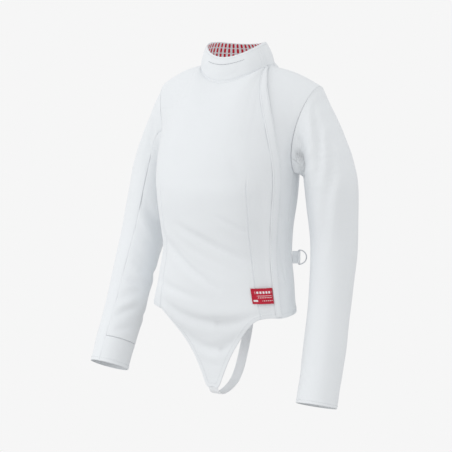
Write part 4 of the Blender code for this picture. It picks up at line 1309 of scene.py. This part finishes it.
def ringPiece():
    # straight bar, two bends and a half ellipse, swept with a round wire
    look = trimLook
    foot, out = ringPlace()
    half, bend = look["ringBar"] / 2, look["ringCorner"]
    reach = look["ringReach"] - bend
    turn = np.linspace(0, pi / 2, 9)[1:]
    corner = np.stack((bend * (1 - np.cos(turn)), half - bend + bend * np.sin(turn)), -1)
    bow = np.linspace(0, pi, 80)[1:-1]
    bar = np.linspace(-half + bend, half - bend, 24)
    flat = np.concatenate((np.stack((0 * bar, bar), -1), corner,
                           np.stack((bend + reach * np.sin(bow), half * np.cos(bow)), -1),
                           corner[::-1] * (1, -1)))
    path = foot + out * (look["barOut"] + flat[:, :1]) + np.array((0.0, 0.0, 1.0)) * flat[:, 1:]
    angle = 2 * pi * np.arange(16) / 16
    wire = look["ringWire"] / 2
    sweptPiece("dRing", path, np.array((-out[1], out[0], 0.0)),
               np.stack((wire * np.cos(angle), wire * np.sin(angle)), -1), greySteel,
               ("d_ring",), cyclic=True, body="ring")


closureFlap = flapPiece()
hemLabel = labelPiece()
strapPiece()
tabPiece()
ringPiece()
print("trims made")

# stitching


def columnLine(grid, normals, column, first=0, last=None):
    return grid[first:last, column], normals[first:last, column]


def rowLine(grid, normals, field, value):
    # the row whose first-column field is nearest the value
    row = int(np.abs(field[:, 0] - value).argmin())
    return grid[row], normals[row]


def linesAbove(parts, height):
    # on each part, the line at this distance from its hem
    return [contourLine(*(field[:, 4:-4] for field in part[:3]), height) for part in parts]


stitchPiece("hemStitches", linesAbove((frontMain, frontLeft, backPanel), 0.0080), whiteThread)
cuffParts = (rightSleeve[0], rightSleeve[2], leftSleeve[0], leftSleeve[2])
stitchPiece("cuffStitches", linesAbove(cuffParts, 0.0092), whiteThread)
flapShare = closureFlap[2][0]
flapLines = [columnLine(closureFlap[0], closureFlap[1], int(np.abs(flapShare - at).argmin()), 4, -4)
             for at in (0.12, 0.88)]
stitchPiece("flapStitches", flapLines, whiteThread)
collarOuter, collarNormals, collarTurn, collarShare = collarBand
collarLines = [rowLine(collarOuter[:, 5:-5], collarNormals[:, 5:-5], collarShare, at)
               for at in (0.085, 0.915)]
lapBack = (collarTurn[0, -1] - collarTurn[0]) * collarLook["radius"]
collarLines += [columnLine(collarOuter, collarNormals, int(np.abs(lapBack - at).argmin()), 7, -7)
                for at in (0.0042, 0.0090)]
stitchPiece("collarStitches", collarLines, whiteThread)
lineTurn, lineShare = np.array(collarLook["frontLine"]).T
drawn = np.radians(np.linspace(lineTurn[0], lineTurn[-1], 60))
drawnShare = curveThrough(np.degrees(drawn), lineTurn, lineShare)
lapped = ease((drawn - radians(collarForm["lapStart"])) / radians(20))
frontSpots = collarSurface(drawn, drawnShare, collarForm["lapLift"] * lapped + 0.0002)
stitchPiece("collarFrontLine", [(frontSpots, collarNormal(drawn))], greyThread,
            stitch=0.0030, space=0.0031, thick=0.00034)
neckLines = []
for outer, normals, toHem, u, v in (frontMain, backPanel):
    row = int(np.abs(v[:, 0] * panelLook["upperReach"] - 0.0062).argmin())
    near = np.abs(u[row]) < bodyForm["dartU"] - 0.012
    neckLines.append((outer[row][near], normals[row][near]))
stitchPiece("neckStitches", neckLines, whiteThread)
labelOuter, labelNormals = hemLabel
labelLines = [(labelOuter[4], labelNormals[4]), (labelOuter[-5], labelNormals[-5]),
              (labelOuter[:, 4], labelNormals[:, 4]), (labelOuter[:, -5], labelNormals[:, -5])]
redThread = threadFinish("redThread", (0.50, 0.008, 0.035), (0.30, 0.005, 0.02))
stitchPiece("labelStitches", labelLines, redThread, 0.0017, 0.0023, 0.00022)
print("stitching made")

# floor, light and camera

studio = {
    "floorZ": -1.30,
    "floorRadius": 60.0,
    "backdrop": 0.922,           # linear grey of floor and sky as the camera sees them
    "skyLight": 0.93,            # the sky as it lights the cloth
    "floorLight": 0.62,          # the floor as it lights the cloth
    "key": (-38, 4, 3.2, 2.4, 24.0),   # azimuth, elevation, distance, size and energy
    "fill": (50, -4, 3.5, 2.0, 7.0),
    "azimuth": 31.5,
    "elevation": 8.0,
    "distance": 3.0,
    "aim": (0.0, -0.045, -0.319),
    "lens": 119.5,
}


def around(azimuth, elevation, distance):
    # a place seen from the aim: azimuth 0 is straight in front, positive towards the wearer's left
    a, e = radians(azimuth), radians(elevation)
    return Vector(studio["aim"]) + distance * Vector((sin(a) * cos(e), -cos(a) * cos(e), sin(e)))


def aimed(name, data, azimuth, elevation, distance):
    # a lamp or camera that looks at the aim
    holder = placed(name, data)
    holder.location = around(azimuth, elevation, distance)
    holder.rotation_euler = (Vector(studio["aim"]) - holder.location).to_track_quat("-Z", "Y").to_euler()
    return holder


def twoWayGlow(tree, strength, plain):
    # the grey that the camera sees and the softer glow that lights the cloth
    path = tree.nodes.new("ShaderNodeLightPath")
    tree.links.new(calc(tree, "MULTIPLY_ADD", path.outputs["Is Camera Ray"], plain - strength, strength),
                   tree.nodes["glow"].inputs["Strength"])


def makeStage():
    floorMesh = bpy.data.meshes.new("paleFloor")
    angle = 2 * pi * np.arange(64) / 64
    radius = studio["floorRadius"]
    corners = points(radius * np.cos(angle), radius * np.sin(angle), studio["floorZ"])
    floorMesh.from_pydata(corners.tolist(), [], [tuple(range(64))])
    floor = placed("paleFloor", floorMesh)
    paper = bpy.data.materials.new("palePaper")
    paper.use_nodes = True
    tree = paper.node_tree
    tree.nodes.remove(tree.nodes["Principled BSDF"])
    glow = tree.nodes.new("ShaderNodeEmission")
    glow.name = "glow"
    tree.links.new(glow.outputs[0], tree.nodes["Material Output"].inputs["Surface"])
    twoWayGlow(tree, studio["floorLight"], studio["backdrop"])
    floorMesh.materials.append(paper)
    world = bpy.data.worlds.new("paleRoom")
    world.use_nodes = True
    world.node_tree.nodes["Background"].name = "glow"
    world.node_tree.nodes["glow"].inputs["Color"].default_value = (1, 1, 1, 1)
    twoWayGlow(world.node_tree, studio["skyLight"], studio["backdrop"])
    bpy.context.scene.world = world


def softLight(name, azimuth, elevation, distance, size, energy):
    lamp = bpy.data.lights.new(name, "AREA")
    lamp.shape = "DISK"
    lamp.size = size
    lamp.energy = energy
    aimed(name, lamp, azimuth, elevation, distance)


def makeCamera():
    lens = bpy.data.cameras.new("studioCamera")
    lens.lens = studio["lens"]
    lens.sensor_width = 36.0
    lens.clip_end = 200.0
    bpy.context.scene.camera = aimed("studioCamera", lens, studio["azimuth"], studio["elevation"],
                                     studio["distance"])


makeStage()
softLight("keyLight", *studio["key"])
softLight("fillLight", *studio["fill"])
makeCamera()
bpy.context.scene.view_settings.view_transform = "Standard"
bpy.context.scene.view_settings.look = "None"

print("scene ready")
